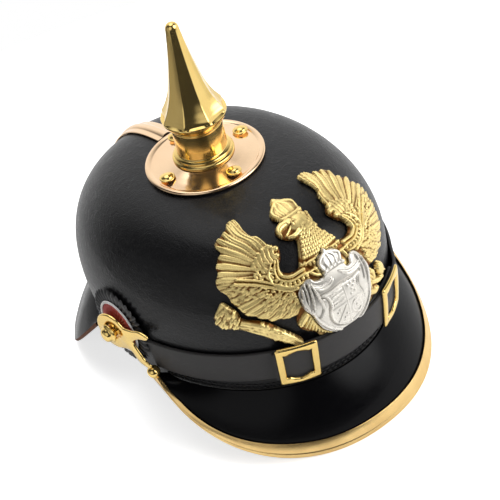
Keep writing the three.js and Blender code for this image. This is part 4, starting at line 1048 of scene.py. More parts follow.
print("badge tilt, degrees:", round(math.degrees(BADGE_TILT)))

# %% [markdown]
# ## Strokes of the chaser
# A stamped relief is built from a few strokes: plumes that taper and lie over each other like
# tiles, round bosses and plain ridges. Each stroke raises the height of the grid near its own
# path, and the higher one wins, which leaves a crease where two meet.

# %% Relief strokes
QUILL_WIDTH, BARB_RATE = 0.35, 2.2


class Relief:
    def __init__(self, low, high, step):
        xs = np.arange(low[0], high[0] + step, step)
        ys = np.arange(low[1], high[1] + step, step)
        self.x, self.y = np.meshgrid(xs, ys)
        self.step = step
        self.height = np.zeros(self.x.shape)

    def window(self, points, margin):
        low, high = points.min(0) - margin, points.max(0) + margin
        cols = np.flatnonzero((self.x[0] >= low[0]) & (self.x[0] <= high[0]))
        rows = np.flatnonzero((self.y[:, 0] >= low[1]) & (self.y[:, 0] <= high[1]))
        if not len(cols) or not len(rows):
            return None
        return slice(rows[0], rows[-1] + 1), slice(cols[0], cols[-1] + 1)

    def stroke(self, points, widths, height, lean=0.0, quill=0.0, barbs=0.0, base=0.0):
        """lean tilts it like a tile, quill cuts a groove along it, barbs comb it across."""
        path = spline(points, 14 * len(points))
        area = self.window(path, max(widths) + 0.5)
        if area is None:
            return
        x, y = self.x[area], self.y[area]
        gap = np.hypot(x[..., None] - path[:, 0], y[..., None] - path[:, 1])
        nearest = gap.argmin(-1)
        along = nearest / (len(path) - 1)
        way = np.gradient(path, axis=0)
        way /= np.maximum(1e-9, np.hypot(*way.T))[:, None]
        dx, dy = x - path[nearest, 0], y - path[nearest, 1]
        offset = way[nearest, 0] * dy - way[nearest, 1] * dx
        past = way[nearest, 0] * dx + way[nearest, 1] * dy
        width = np.interp(along, np.linspace(0, 1, len(widths)), widths)
        radius = np.hypot(offset, past) / width
        body = np.maximum(0, 1 - radius**2)
        shape = np.sqrt(body) * height * (1 + lean * np.clip(offset / width, -1, 1))
        groove = quill * np.exp(-(offset / QUILL_WIDTH) ** 2) * (radius < 1)
        barb_line = along * len(path) * 0.75 + np.abs(offset) * 1.6
        comb = barbs * np.sin(barb_line * BARB_RATE) * (radius < 0.95)
        here = self.height[area]
        raised = np.where(radius < 1, base + shape + groove + comb, 0)
        self.height[area] = np.maximum(here, raised)

    def boss(self, x, y, size_x, size_y, height, base=0.0, power=2.0):
        area = self.window(np.array([[x, y]]), max(size_x, size_y) + 0.3)
        if area is None:
            return
        radius = np.hypot((self.x[area] - x) / size_x, (self.y[area] - y) / size_y)
        dome = base + np.sqrt(np.maximum(0, 1 - radius**power)) * height
        here = self.height[area]
        self.height[area] = np.where(radius < 1, np.maximum(here, dome), here)

    def blurred(self, size):
        """The relief averaged over a square window, twice."""
        result = self.height.copy()
        reach = max(1, int(size / self.step))
        width = 2 * reach + 1
        for _ in range(2):
            for axis in (0, 1):
                margins = [(reach + 1, reach) if a == axis else (0, 0) for a in (0, 1)]
                total = np.cumsum(np.pad(result, margins, mode="edge"), axis=axis)
                size_here = result.shape[axis]
                result = (np.take(total, np.arange(width, width + size_here), axis)
                          - np.take(total, np.arange(size_here), axis)) / width
        return result


print("relief tools ready")

# %% [markdown]
# ## From relief to plate
# The grid is cut along the badge's outline, its edge places are moved onto the outline so that
# the edge runs smooth, and the edge is rolled down. A copy of the front, without relief, makes
# the back, and a band of quads joins the two. A point attribute notes the hollows, where the
# finish paints a darker colour: painted shade, with some patina.

# %% Bent plate
def on_the_edge(x, y, shape, step):
    """Moves the grid places near the outline onto it."""
    slope_y, slope_x = np.gradient(shape, step)
    length = np.maximum(1e-6, slope_x**2 + slope_y**2)
    near = np.abs(shape) < 0.75 * step
    x = np.where(near, x - shape * slope_x / length, x)
    y = np.where(near, y - shape * slope_y / length, y)
    return x, y, near


def plate_quads(shape, kept, step):
    """Corner numbers of the grid squares that lie inside the outline."""
    whole = kept[:-1, :-1] & kept[1:, :-1] & kept[:-1, 1:] & kept[1:, 1:]
    centre = (shape[:-1, :-1] + shape[1:, :-1] + shape[:-1, 1:] + shape[1:, 1:]) / 4
    rows, cols = np.nonzero(whole & (centre < 0.2 * step))
    across = shape.shape[1]
    first, second = rows * across + cols, (rows + 1) * across + cols
    return np.stack([first, first + 1, second + 1, second], 1)


def edge_band(faces, total):
    """Quads from the front's open border to the back's, whose points follow after total."""
    edges = np.concatenate([faces[:, [k, (k + 1) % 4]] for k in range(4)])
    keys = edges[:, 0].astype(np.int64) * total + edges[:, 1]
    twins = edges[:, 1].astype(np.int64) * total + edges[:, 0]
    border = edges[~np.isin(keys, twins)]
    return np.stack([border[:, 1], border[:, 0], border[:, 0] + total, border[:, 1] + total], 1)


def badge_mesh(name, relief, shape, base, plate, roll, crease_patina_shade_gain):
    """Closes a relief into a thin bent plate inside a shape given as signed distances."""
    seat, _ = badge_seat(relief.x, relief.y)
    shape = np.maximum(shape, over_strap(seat))
    x, y, near = on_the_edge(relief.x, relief.y, shape, relief.step)
    seat, normal = badge_seat(x, y)
    depth = np.clip(-np.where(near, 0, shape) / roll, 0, 1)
    rolled = np.sqrt(np.maximum(0, 1 - (1 - depth) ** 2))
    top = plate * (0.35 + 0.65 * rolled) + relief.height * rolled
    # painted shade, with some patina: how far a place lies below its blurred surroundings sets how dark the
    # finish paints it
    hollow = relief.blurred(1.1) - relief.height
    wide = relief.blurred(2.6) - relief.height
    crease = np.clip(crease_patina_shade_gain * np.maximum(hollow, 0.6 * wide), 0, 1)
    corners = plate_quads(shape, (shape < 0) | near, relief.step)
    used = np.unique(corners)
    total = len(used)
    index = np.full(x.size, -1)
    index[used] = np.arange(total)
    faces = index[corners]
    seat, normal = seat.reshape(-1, 3)[used], normal.reshape(-1, 3)[used]
    front = seat + normal * (BADGE_LIFT + base + top.ravel()[used])[:, None]
    back = seat + normal * (BADGE_LIFT + base)
    all_faces = np.vstack([faces, faces[:, ::-1] + total, edge_band(faces, total)])
    mesh = new_mesh(name, np.vstack([front, back]), all_faces)
    marks = mesh.attributes.new("crease", "FLOAT", "POINT")
    marks.data.foreach_set("value", np.concatenate([crease.ravel()[used], np.zeros(total)]))
    return mesh


print("plate tools ready")

# %% [markdown]
# ## The eagle's outlines
# Two spread wings mirror each other about the badge's middle line. Each outline is drawn with
# only the points that its shape needs, in millimetres on the flat badge, and a smooth path is
# laid through them.

# %% Outlines of the eagle
BADGE_MIDDLE = -2.3
WING_OUTLINE = [
    (-15, 8.2), (-19, 8), (-22.4, 8.8), (-25.2, 11.6), (-24.2, 15), (-21.6, 17.6), (-20.2, 20),
    (-19, 22.8), (-20.4, 25), (-22, 26.2), (-22.8, 30), (-23.2, 33), (-25.4, 34.6), (-25.8, 39),
    (-24.8, 42.6), (-24.6, 46.4), (-27, 46.8), (-29.4, 46.6), (-31.6, 45), (-34, 43.9), (-37, 43),
    (-40.4, 42.2), (-42.2, 40), (-42, 36.4), (-44.4, 35), (-46.4, 33), (-48, 31.4), (-48.8, 28.6),
    (-50.6, 26.6), (-52.4, 24), (-52.6, 20.6), (-51.8, 18.4), (-51, 15.6), (-51.2, 12), (-50, 8.8),
    (-49.2, 5), (-47.8, 1.6), (-45, -0.6), (-43.6, -3), (-41, -5), (-39.4, -7.6), (-36.8, -8),
    (-34.4, -9.4), (-31.6, -11), (-28.4, -11.4), (-25.6, -12.4), (-12, -14), (-9, 4),
]
HEAD_OUTLINE = [
    (-17, 4), (-16, 9.6), (-13.6, 13.4), (-10.6, 18.2), (-9.6, 21), (-11.4, 21.8), (-13.4, 23.4),
    (-15.4, 26), (-15.6, 29), (-13.6, 31.2), (-10.6, 31.8), (-8.8, 31.4), (-9.4, 33.4), (-10.8, 35.2),
    (-10.4, 37.8), (-8.4, 39.6), (-6, 41), (-4.6, 42.8), (-2.6, 43.6), (-0.6, 42.8), (1.2, 41.2),
    (3.8, 40.2), (5.3, 38), (5.2, 35.4), (4.8, 33), (5.2, 31), (6.4, 29), (5.4, 26.6), (4.8, 24),
    (4.9, 21), (6.2, 16.6), (8.2, 12.2), (9.6, 8.6), (13, 3),
]
BODY_OUTLINE = [
    (-20, 6), (-27, -10), (-29, -15), (-28.4, -19), (-25, -23), (-21.4, -25.4), (-19.6, -28.6),
    (-15, -31.4), (-8, -34), (9, -34), (15, -30), (19.6, -27.4), (22.4, -25.2), (24.6, -22.4),
    (28.4, -21.6), (27.4, -20), (23.4, -19.6), (21.8, -17.8), (22.2, -14.6), (19.6, -12.2), (22, -8),
    (16, 6),
]
SCEPTRE_OUTLINE = [
    (-50.4, 1.6), (-50.8, 6), (-52.6, 11), (-54.6, 14.8), (-57.4, 12.6), (-59.8, 10), (-59.8, 6),
    (-58, 2.6), (-54.6, -0.4), (-51.4, -3), (-46, -10.2), (-41.6, -16.8), (-36, -22.4), (-30.4, -27.6),
    (-27.8, -26), (-32, -19.6), (-36.4, -14.2), (-41, -7.4), (-45.6, -2.8),
]
ORB_X, ORB_Y, ORB_WIDE, ORB_HIGH = 28.3, -17, 3.3, 4.1
print("outline points of one wing:", len(WING_OUTLINE))

# %% [markdown]
# ## The eagle's relief
# A few guide plumes are drawn from wrist to tip, and the plumes between them are blended
# from these, as a chaser would space them by eye. The fields below them are filled with small
# leaf-shaped strokes, turned and sized a little by chance from a fixed seed.

# %% Plumes and leaves
# guide plumes of one wing, each as places from wrist to tip
GUIDES = [
    [(-24, 23), (-24.2, 30), (-26.8, 37), (-25.6, 46)],
    [(-28, 24), (-28.6, 32), (-31, 39), (-30, 46)],
    [(-31.6, 23.6), (-34, 31), (-36.8, 37), (-38.6, 42.6)],
    [(-34, 21.6), (-38, 27.6), (-41.4, 32), (-44, 35.6)],
    [(-36.6, 18.6), (-42.8, 22.6), (-47, 26), (-50.2, 28.2)],
    [(-39, 15.4), (-45, 18), (-49, 20.4), (-52.6, 22.4)],
    [(-39.6, 12), (-45, 12.8), (-48.4, 14.2), (-51.6, 16)],
    [(-38.6, 8.6), (-43, 8.4), (-47, 9), (-50.8, 10)],
    [(-36.6, 5), (-41, 4.6), (-45, 4.6), (-49, 5.4)],
    [(-34, 1), (-38, 0), (-42.4, -0.4), (-46.6, 0.2)],
    [(-31, -2), (-35, -4), (-38.6, -5), (-42.6, -4.6)],
    [(-28, -4.4), (-31, -7), (-34, -8.4), (-37.8, -8.2)],
    [(-25, -6), (-27, -9), (-29.4, -10.6), (-32.4, -11)],
]


def mirrored(points, side):
    return [(x if side < 0 else 2 * BADGE_MIDDLE - x, y) for x, y in points]


def blended_plumes(guides, between):
    guides = np.array(guides, float)
    places = np.linspace(0, len(guides) - 1, (len(guides) - 1) * between + 1)
    low = np.minimum(places.astype(int), len(guides) - 2)
    share = (places - low)[:, None, None]
    return guides[low] * (1 - share) + guides[low + 1] * share


def scattered(relief, outline, spacing, heading, size, height, base, side):
    """Small leaf strokes over a field, all roughly along one heading."""
    pts = np.array(outline, float)
    low, high = pts.min(0), pts.max(0)
    for y in np.arange(low[1], high[1], spacing * 0.8):
        for x in np.arange(low[0], high[0], spacing):
            px, py = np.array([x, y]) + rng.uniform(-0.35, 0.35, 2) * spacing
            if signed_distance(np.array(px), np.array(py), pts) > -0.3:
                continue
            turn = math.radians(heading) + rng.uniform(-0.45, 0.45)
            reach = size * rng.uniform(0.8, 1.25)
            step_x, step_y = reach * math.cos(turn), reach * math.sin(turn)
            leaf = [(px - step_x, py - step_y), (px, py), (px + step_x, py + step_y)]
            tall = height * rng.uniform(0.7, 1.2)
            relief.stroke(mirrored(leaf, side), [0.45, 0.8, 0.2], tall, base=base)


def stroke_all(relief, strokes):
    """Each stroke is given as its places, widths, height and base."""
    for points, widths, height, base in strokes:
        relief.stroke(points, widths, height, base=base)


def boss_all(relief, bosses):
    """Each boss is given as x, y, half width, half height, rise, base and perhaps a power."""
    for values in bosses:
        relief.boss(*values)


BETWEEN = 2  # plumes to each step between guides
print("plumes of one wing:", len(blended_plumes(GUIDES, BETWEEN)))

# %% [markdown]
# ## The wings
# Each wing is plumes laid over each other like tiles, a shoulder of short feathers, two curved
# bars that cross it, a row of beads and three ridges round the notch by the neck.

# %% Eagle's wings
# fields of small leaves: outline, spacing, heading, size, height, base
WING_FIELDS = [
    ([(-50.6, 20), (-45, 19.4), (-38, 13), (-32, 6), (-37, 4), (-43, 8.6), (-50, 10.4)],
     1.9, 150, 1.2, 0.8, 1.1),
    ([(-38, 15), (-33, 22), (-27, 19), (-26.4, 14.6), (-31, 9)], 1.8, 110, 1.1, 0.8, 1.3),
    ([(-40, 4), (-31, 5), (-25, 0), (-24, -10), (-33, -8.4), (-41, -2)], 1.7, 200, 1.0, 0.8, 0.9),
]
# the wing's curved bar: x, y and how much steeper the second bar runs there
WING_BAR = [(-45.6, 19, 0.7), (-38.4, 13.2, 0.5), (-32, 6.8, 0.3), (-27, 2, 0.4), (-20.6, -0.4, 0.8)]
WING_BEADS = [(-30.6, 16.6), (-30, 10.4), (-26.6, 5.4), (-21.6, 3.2), (-15.6, 3)]
PLUME_WIDTHS = [0.9, 1.35, 1.7, 1.8, 1.0]


def wing_plumes(relief, side):
    for k, points in enumerate(blended_plumes(GUIDES, BETWEEN)):
        place = mirrored(points.tolist(), side)
        relief.stroke(place, PLUME_WIDTHS, 1.0, 0.4 * side, -0.35, 0.05, 0.25 + 0.3 * (k % 2))
    for k in range(6):
        start = (-24.4 - 1.9 * k, 17.6 + 0.2 * k)
        tip = (-21.8 - 2.4 * k, 25.4 + 0.7 * k - 0.25 * k * k)
        bend = ((start[0] + tip[0]) / 2 - 0.9, (start[1] + tip[1]) / 2)
        place = mirrored([start, bend, tip], side)
        relief.stroke(place, [0.9, 1.2, 1.3, 0.8], 1.0, 0.4 * side, -0.3, base=1.0)


def wing_bands(relief, side):
    for x, y in mirrored([(-20.9, 22.8), (-22.6, 19.6), (-22.8, 25.2)], side):
        relief.boss(x, y, 1.5, 1.3, 1.0, 1.3)
    for shift, width in ((0, 0.75), (1.9, 0.65)):
        bar = [(x + shift, y + steeper * shift) for x, y, steeper in WING_BAR]
        relief.stroke(mirrored(bar, side), [width] * 4, 1.1, base=1.7)
    for x, y in mirrored(spline(WING_BEADS, 11).tolist(), side):
        relief.boss(x, y, 0.95, 0.95, 0.8, 1.7)
    for grow, width in ((0, 0.85), (2.1, 0.6), (5.4, 0.6)):
        notch = [(-23.6 - 0.7 * grow, 17.6), (-25.8 - grow, 13.4), (-26 - 0.9 * grow, 9.6 - 0.4 * grow),
                 (-22.4 - 0.4 * grow, 7 - 0.9 * grow), (-15.5, 6.6 - grow)]
        relief.stroke(mirrored(notch, side), [0.5, width, width, width], 1.1, base=1.7)


EAGLE_STEP = 0.38
eagle_relief = Relief((-62, -36), (52, 49), EAGLE_STEP)
for side in (-1, 1):
    wing_plumes(eagle_relief, side)
    wing_bands(eagle_relief, side)
    for field in WING_FIELDS:
        scattered(eagle_relief, *field, side)
print("relief grid:", eagle_relief.height.shape)

# %% [markdown]
# ## Breast, crown and head
# Rows of scales cover the neck and narrow towards the head. The band on the breast is two
# plain lines with raised beads between them. The crown is a dome with five ribs.

# %% Eagle's breast and head
HEAD_BOSSES = [
    (-3, 12, 11, 13, 1.4, 0.2), (-2.6, 36.4, 7.8, 6.8, 1.5, 0.9, 3.0), (-2.6, 42, 1.5, 1.4, 1.0, 1.6),
    (-1.6, 27.4, 6.4, 5, 1.9, 0.9), (-5.6, 27.6, 0.9, 0.8, 0.6, 2.9)]
# crown band, hooked beak, its lower half, throat and brow
HEAD_STROKES = [
    ([(-9, 32), (-2, 31.4), (5, 32)], [0.7, 0.8, 0.7], 0.7, 2.0),
    ([(-5.6, 29.6), (-10.8, 29.8), (-14, 28.2), (-14.6, 25.4)], [1.7, 1.7, 1.4, 0.5], 1.5, 1.5),
    ([(-7.2, 27), (-10, 25.6), (-12.8, 24.4)], [0.5, 0.55, 0.4], 0.7, 1.2),
    ([(-4.6, 23.4), (-8.6, 22.6), (-12, 23.4)], [1.3, 1.2, 0.6], 1.3, 1.2),
    ([(-7.4, 28.6), (-5.4, 29.2), (-3, 28.4)], [0.4, 0.5, 0.3], 0.6, 2.6)]
CHEST_LEAVES = [
    [(-13.4, 3.4), (-11, 0.6), (-8.6, -1)], [(-10.2, 4), (-9.4, 1.4), (-8.2, -1.6)],
    [(7.4, 4), (8.4, 1.4), (9, -1)]]
NAPE = [(-5, 22.6), (0, 26), (1, 31), (6, 29), (5, 20), (-4, 20)]


def neck_rows(relief):
    """Rows of overlapping scales, narrower towards the head."""
    for k in range(8):
        y = 10.6 + 1.75 * k
        half = 9.8 - 1.02 * k
        row = [(BADGE_MIDDLE - 0.3 - half, y + 0.5), (BADGE_MIDDLE, y - 0.5),
               (BADGE_MIDDLE + 0.3 + half, y + 0.5)]
        relief.stroke(row, [0.85, 0.95, 0.85], 0.9, 0.5, base=1.4)
        for x, y in spline(row, max(5, int(half * 1.7))):
            relief.boss(x + 0.6 * (k % 2), y - 0.3, 0.62, 0.8, 0.6, 2.0)


def chest_band(relief):
    """Two plain lines with a row of raised beads between them."""
    for y in (9.2, 4.6):
        line = [(-17.4, y - 0.4), (-8, y - 1.2), (2, y - 1.2), (12, y - 0.4)]
        relief.stroke(line, [0.5] * 3, 1.0, base=1.7)
    for x in np.linspace(-15.6, 10.4, 13):
        relief.boss(x, 6.2 + 0.02 * (x - BADGE_MIDDLE) ** 2 - 0.4, 0.75, 1.3, 0.7, 1.6)


def crown_ribs(relief):
    for k in range(5):
        foot = (-8.4 + 3.0 * k, 33.2)
        rib = [foot, (foot[0] * 0.98 - 0.4 * (2 - k), 37.2), (-2.6 + 0.5 * (k - 2), 41)]
        relief.stroke(rib, [0.7, 0.9, 0.6], 0.6, base=2.1)


neck_rows(eagle_relief)
chest_band(eagle_relief)
crown_ribs(eagle_relief)
boss_all(eagle_relief, HEAD_BOSSES)
stroke_all(eagle_relief, HEAD_STROKES)
stroke_all(eagle_relief, [(leaf, [0.7, 0.85, 0.6], 0.9, 1.5) for leaf in CHEST_LEAVES])
scattered(eagle_relief, NAPE, 1.6, -75, 1.0, 0.6, 2.0, -1)
print("highest place so far, mm:", round(float(eagle_relief.height.max()), 2))

# %% [markdown]
# ## Sceptre, tail and feet
# The sceptre is three strands side by side under a leafy head. The tail's plumes fan out on
# both sides below the shield, and the foot on the other side holds an orb.

# %% Eagle's sceptre, tail and feet
SCEPTRE_HEAD = [(-50.6, 1.6), (-51, 7), (-54.6, 14.4), (-59.4, 9), (-58, 3), (-53, -2)]
SCEPTRE_SHAFT = [(-50, -1), (-46, -2.6), (-36.4, -14), (-30, -24), (-34, -22.6), (-42, -15), (-47, -8)]
# one strand of the shaft: x and its spread, y and its spread
STRAND = [(-52, 1.0, -0.6, 0.8), (-45, 0.9, -7.6, 0.6), (-40.6, 0.7, -13.4, 0.4),
          (-35, 0.8, -19.2, 0.6), (-29.2, 0.4, -26.4, 0.5)]
TOES = [
    [(17, -12.4), (20, -14.6), (20.6, -18)], [(18, -19.6), (23, -21), (27.6, -20.8)],
    [(15, -24), (19, -25), (21.6, -24)], [(-22, -13), (-25, -14.6), (-27.6, -17)]]
TAIL_PLUMES = 12


def tail(relief):
    for k in range(TAIL_PLUMES):
        t = k / (TAIL_PLUMES - 1)
        for side, reach in ((-1, 1.0), (1, 0.8)):
            foot = (BADGE_MIDDLE + side * (20.5 - 7 * t), -12.4 - 13 * t)
            tip_x = BADGE_MIDDLE + side * (20.5 + 6 * reach - 16.5 * t)
            tip = (tip_x, -16 - 14 * t - 1.5 * math.sin(3 * t))
            relief.stroke([foot, tip], [0.7, 0.95, 0.5], 1.2, 0.4, base=0.9)


scattered(eagle_relief, SCEPTRE_HEAD, 1.8, 60, 1.1, 0.8, 1.7, -1)
scattered(eagle_relief, SCEPTRE_SHAFT, 2.0, -62, 1.3, 0.7, 1.5, -1)
for shift in (-1.1, 0.1, 1.2):
    strand = [(x + wide * shift, y + high * shift) for x, wide, y, high in STRAND]
    eagle_relief.stroke(strand, [0.7, 0.85, 0.75, 0.8, 0.5], 1.1, base=1.0 + 0.2 * abs(shift))
tail(eagle_relief)
boss_all(eagle_relief, [(-55.2, 6.4, 4.4, 8.2, 1.7, 0.3), (28.2, -17, 3.1, 3.9, 2.0, 0.5)])
stroke_all(eagle_relief, [([(26, -14.4), (28.6, -17.4), (30.6, -18.4)], [0.4, 0.5, 0.4], 0.5, 2.1)])
stroke_all(eagle_relief, [(toe, [1.2, 1.4, 0.9], 1.3, 1.3) for toe in TOES])
print("highest place in all, mm:", round(float(eagle_relief.height.max()), 2))

# %% [markdown]
# ## The eagle in one plate
# The least of the signed distances joins the outlines into one shape. Under the shield the
# relief is held down, so that the shield can lie on it, and the whole relief is then lowered a
# little, because a stamped sheet is shallow.

# %% Eagle badge
MANTLE_OUTLINE = [
    (-24, -3.4), (-22.4, -0.6), (-19, 1.2), (-15.6, 1.2), (-14, -1), (-11, -2), (-8.8, -1.4), (-8.8, 2),
    (-8.4, 5.2), (-6.4, 7.8), (-3.8, 8.4), (-2.3, 10.4), (-0.8, 8.4), (2.4, 7.8), (4.6, 5.4), (5, 2),
    (4.6, -2), (5.4, -3.8), (7.8, -3.8), (9, -0.6), (11.6, 0.8), (14.4, -0.6), (16.4, -4), (17.8, -8),
    (18, -12), (16.6, -16), (15.8, -20), (13.8, -25), (11, -27.6), (8, -29.4), (4.4, -31.6), (0, -33),
    (-5, -33), (-9.4, -31.4), (-14, -28.4), (-17.6, -25), (-20, -20.4), (-21.6, -15), (-24, -10.4),
]
RELIEF_SHARE, UNDER_SHIELD = 0.86, 0.5
gx, gy = eagle_relief.x, eagle_relief.y
eagle_shape = np.minimum.reduce([signed_distance(gx, gy, smooth_outline(outline, 3)) for outline in (
    WING_OUTLINE, mirrored(WING_OUTLINE, 1), HEAD_OUTLINE, BODY_OUTLINE, SCEPTRE_OUTLINE)])
orb = np.hypot((gx - ORB_X) / ORB_WIDE, (gy - ORB_Y) / ORB_HIGH)
eagle_shape = np.minimum(eagle_shape, (orb - 1) * 3.6)
shield_shape = signed_distance(gx, gy, smooth_outline(MANTLE_OUTLINE, 3))
lowered = np.minimum(eagle_relief.height, UNDER_SHIELD)
eagle_relief.height = np.where(shield_shape < 0.3, lowered, eagle_relief.height) * RELIEF_SHARE
mesh = badge_mesh("eagle", eagle_relief, eagle_shape, 0.0, BADGE_PLATE, 0.6, 3.8)
finish_piece("eagle_badge", mesh, stamped_brass, ("eagle",))

# %% [markdown]
# ## The silver shield
# A draped mantle hangs from a small crown round a waisted, quartered shield. The charges in
# the quarters are plain devices only: bars, a ring, a slanting bar and small bosses.

# %% Silver shield
ESCUTCHEON_OUTLINE = [
    (-14.6, -9), (-9, -9.6), (-2, -9), (5, -9.6), (10.2, -8.6), (7.6, -11.6), (7, -15), (8.4, -19.4),
    (7.6, -24), (4, -27.4), (-2.2, -29.4), (-8.4, -27.4), (-12, -24), (-12.8, -19.4), (-11.4, -15),
    (-12, -11.6),
]
SHIELD_STEP = 0.28
# folds of the mantle: places, width, height
FOLDS = [
    ([(-16.4, -2.4), (-13.6, -4.8), (-10, -5.4), (-6, -4.4)], 0.55, 0.8),
    ([(-16, -3.8), (-12.8, -6.4), (-9, -6.8), (-5.4, -5.4)], 0.4, 0.5),
    ([(-0.6, -3.2), (3.4, -5.6), (7.6, -6.2), (12, -5)], 0.6, 0.8),
    ([(0.6, -4.8), (4.4, -7.4), (8.8, -7.6), (13, -6)], 0.4, 0.5),
    ([(-17.6, -0.6), (-18.4, -7), (-19.6, -13.6)], 0.6, 1.3),
    ([(-16.6, -1.6), (-15.4, -9), (-14.9, -14.6), (-17.8, -18.2)], 0.65, 1.3),
    ([(-21.4, -1.6), (-22.4, -7), (-21.8, -12)], 0.75, 1.1),
    ([(-19.6, 0), (-20.2, -5), (-21.2, -9)], 0.5, 1.0),
    ([(-23.4, -5), (-23.2, -9)], 0.5, 0.9),
    ([(-20.8, -13), (-19, -19), (-14.4, -25.6), (-8, -30.4)], 0.7, 0.7),
    ([(12.4, -1.4), (13.2, -8), (12, -14)], 0.6, 0.7),
    ([(15, -4), (15.6, -10), (13.8, -17)], 0.6, 0.7),
    ([(14.4, -16), (13, -22), (8.8, -27.6), (2, -31.4)], 0.7, 0.6)]
shield_relief = Relief((-28, -36), (22, 16), SHIELD_STEP)
sx, sy = shield_relief.x, shield_relief.y
shield_relief.boss(-3, -15, 22, 19, 0.9, 0.2)
for points, width, high in FOLDS:
    shield_relief.stroke(points, [0.8 * width, width, width, 0.7 * width], high, base=0.9)
escutcheon = signed_distance(sx, sy, smooth_outline(ESCUTCHEON_OUTLINE, 4))
raised_rim = 0.5 * np.exp(-((escutcheon + 0.5) / 0.4) ** 2)
shield_relief.height += 0.45 * np.clip(-escutcheon / 0.4, 0, 1) + raised_rim
shield_relief.height -= 0.5 * np.exp(-((escutcheon - 0.45) / 0.35) ** 2)
print("folds in the mantle:", len(FOLDS))

# %% [markdown]
# ## Charges and crown
# The charges stand on the field of the inner shield. The crown above it is a low dome with a
# band, five ribs that lean together and a ball on top.

# %% Charges and crown
FIELD_TOP, RING_BOSSES = 1.35, 26
QUARTER_LINES = [
    [(-2.2, -9.6), (-2.2, -28.6)], [(-11.8, -18.4), (7.6, -18.4)], [(-9.4, -25.6), (-3.4, -19.6)]]
BARS = [[(-9.8, -11.2 - 1.8 * k), (-3.4, -11 - 1.8 * k)] for k in range(4)]
SMALL_BOSSES = [
    (0.6, -12), (2.4, -11.4), (3.6, -13), (2.2, -14.4), (3.8, -15.8), (1.2, -16.4), (5, -11.6),
    (-9, -21.4), (-7.6, -20.4), (-5.4, -25.4), (-4, -24), (2.7, -23)]
stroke_all(shield_relief, [(line, [0.35, 0.4], 0.5, FIELD_TOP) for line in QUARTER_LINES + BARS])
for angle in np.linspace(0, 2 * np.pi, RING_BOSSES):
    x, y = 2.7 + 3 * math.cos(angle), -23 + 3 * math.sin(angle)
    shield_relief.boss(x, y, 0.55, 0.55, 0.5, FIELD_TOP)
boss_all(shield_relief, [(x, y, 0.8, 0.95, 0.6, FIELD_TOP) for x, y in SMALL_BOSSES])
crown_band = [(-8.2, -0.6), (-5.2, 0.2), (1.2, 0.2), (4.2, -0.6)]
stroke_all(shield_relief, [(crown_band, [0.8, 1.0, 0.8], 1.1, 1.3)])
for k in range(5):
    foot, way = -7.2 + 2.5 * k, (k - 2) / 2
    rib = [(foot, 1), (foot + 0.9 * way, 4.6), (BADGE_MIDDLE + 0.7 * way, 7.8)]
    shield_relief.stroke(rib, [0.8, 0.95, 0.6], 1.0, base=1.2)
    shield_relief.boss(foot, 0.2, 0.7, 0.7, 0.6, 2.3)
boss_all(shield_relief, [(BADGE_MIDDLE, 8.8, 1.2, 1.3, 1.0, 1.2), (-1.9, 3.6, 6.6, 4.6, 0.9, 0.9)])
mantle = signed_distance(sx, sy, smooth_outline(MANTLE_OUTLINE, 3))
mesh = badge_mesh("shield", shield_relief, mantle, 2.4, 1.0, 0.6, 1.2)
finish_piece("silver_shield", mesh, silver, ("shield",))

# %% [markdown]
# ## Stitches
# The peaks are sewn to the skull with waxed thread. The stitches repeat along a path, so
# Geometry Nodes lay one small stitch again and again, at a named spacing, with a little
# chance in each one's size so that the row looks sewn by hand.

# %% Seam stitches
tree, inputs, result = geometry_tree("Stitches", {
    "Spacing": ("Float", 0.0032), "Length": ("Float", 0.0026), "Thickness": ("Float", 0.0009),
    "Seed": ("Int", 5), "Material": ("Material", None)})
source = tree.nodes["Group Input"].outputs["Geometry"]
path_curve = add(tree, "GeometryNodeMeshToCurve", {"Mesh": source})
even_points = add(tree, "GeometryNodeResampleCurve", {
    "Curve": path_curve.outputs[0], "Length": inputs["Spacing"]}, mode="LENGTH")
bead = add(tree, "GeometryNodeMeshUVSphere", {"Segments": 8, "Rings": 5, "Radius": 0.5})
size = add(tree, "ShaderNodeCombineXYZ", {
    0: inputs["Length"], 1: inputs["Thickness"], 2: inputs["Thickness"]})
stitch = add(tree, "GeometryNodeTransform", {"Geometry": bead.outputs["Mesh"], "Scale": size.outputs[0]})
tangent = add(tree, "GeometryNodeInputTangent")
turned_to = add(tree, "FunctionNodeAlignRotationToVector", {"Vector": tangent.outputs[0]}, axis="X")
chance = add(tree, "FunctionNodeRandomValue", {2: 0.85, 3: 1.15, "Seed": inputs["Seed"]}, data_type="FLOAT")
placed = add(tree, "GeometryNodeInstanceOnPoints", {
    "Points": even_points.outputs[0], "Instance": stitch.outputs[0], "Rotation": turned_to.outputs[0],
    "Scale": chance.outputs[1]})
finish_tree(tree, placed.outputs[0], inputs["Material"], result)

# seam, where it starts and ends in degrees from the front, height over the rim
SEAMS = [("front", -72, 72, 9.4), ("front_low", -73, 73, 6.9), ("rear", 118, 242, 8.6)]
SEAM_PLACES, THREAD_LIFT = 220, 0.2
SPACING, STITCH_LENGTH, STITCH_THICK = 3.4, 2.7, 1.1
for label, start, end, height in SEAMS:
    turn = np.linspace(start, end, SEAM_PLACES)
    line = on_skull(turn, np.full(SEAM_PLACES, height), np.full(SEAM_PLACES, THREAD_LIFT))
    base = bpy.data.meshes.new("seam")
    base.from_pydata((line * MM).tolist(), [(k, k + 1) for k in range(SEAM_PLACES - 1)], [])
    mesh = run_tree("stitches", tree, {
        "Spacing": SPACING * MM, "Length": STITCH_LENGTH * MM, "Thickness": STITCH_THICK * MM,
        "Material": thread}, base)
    finish_piece(f"stitches_{label}", mesh, thread)

# %% [markdown]
# ## Camera
# A long lens looks from the front left and well above, and is rolled by some degrees.

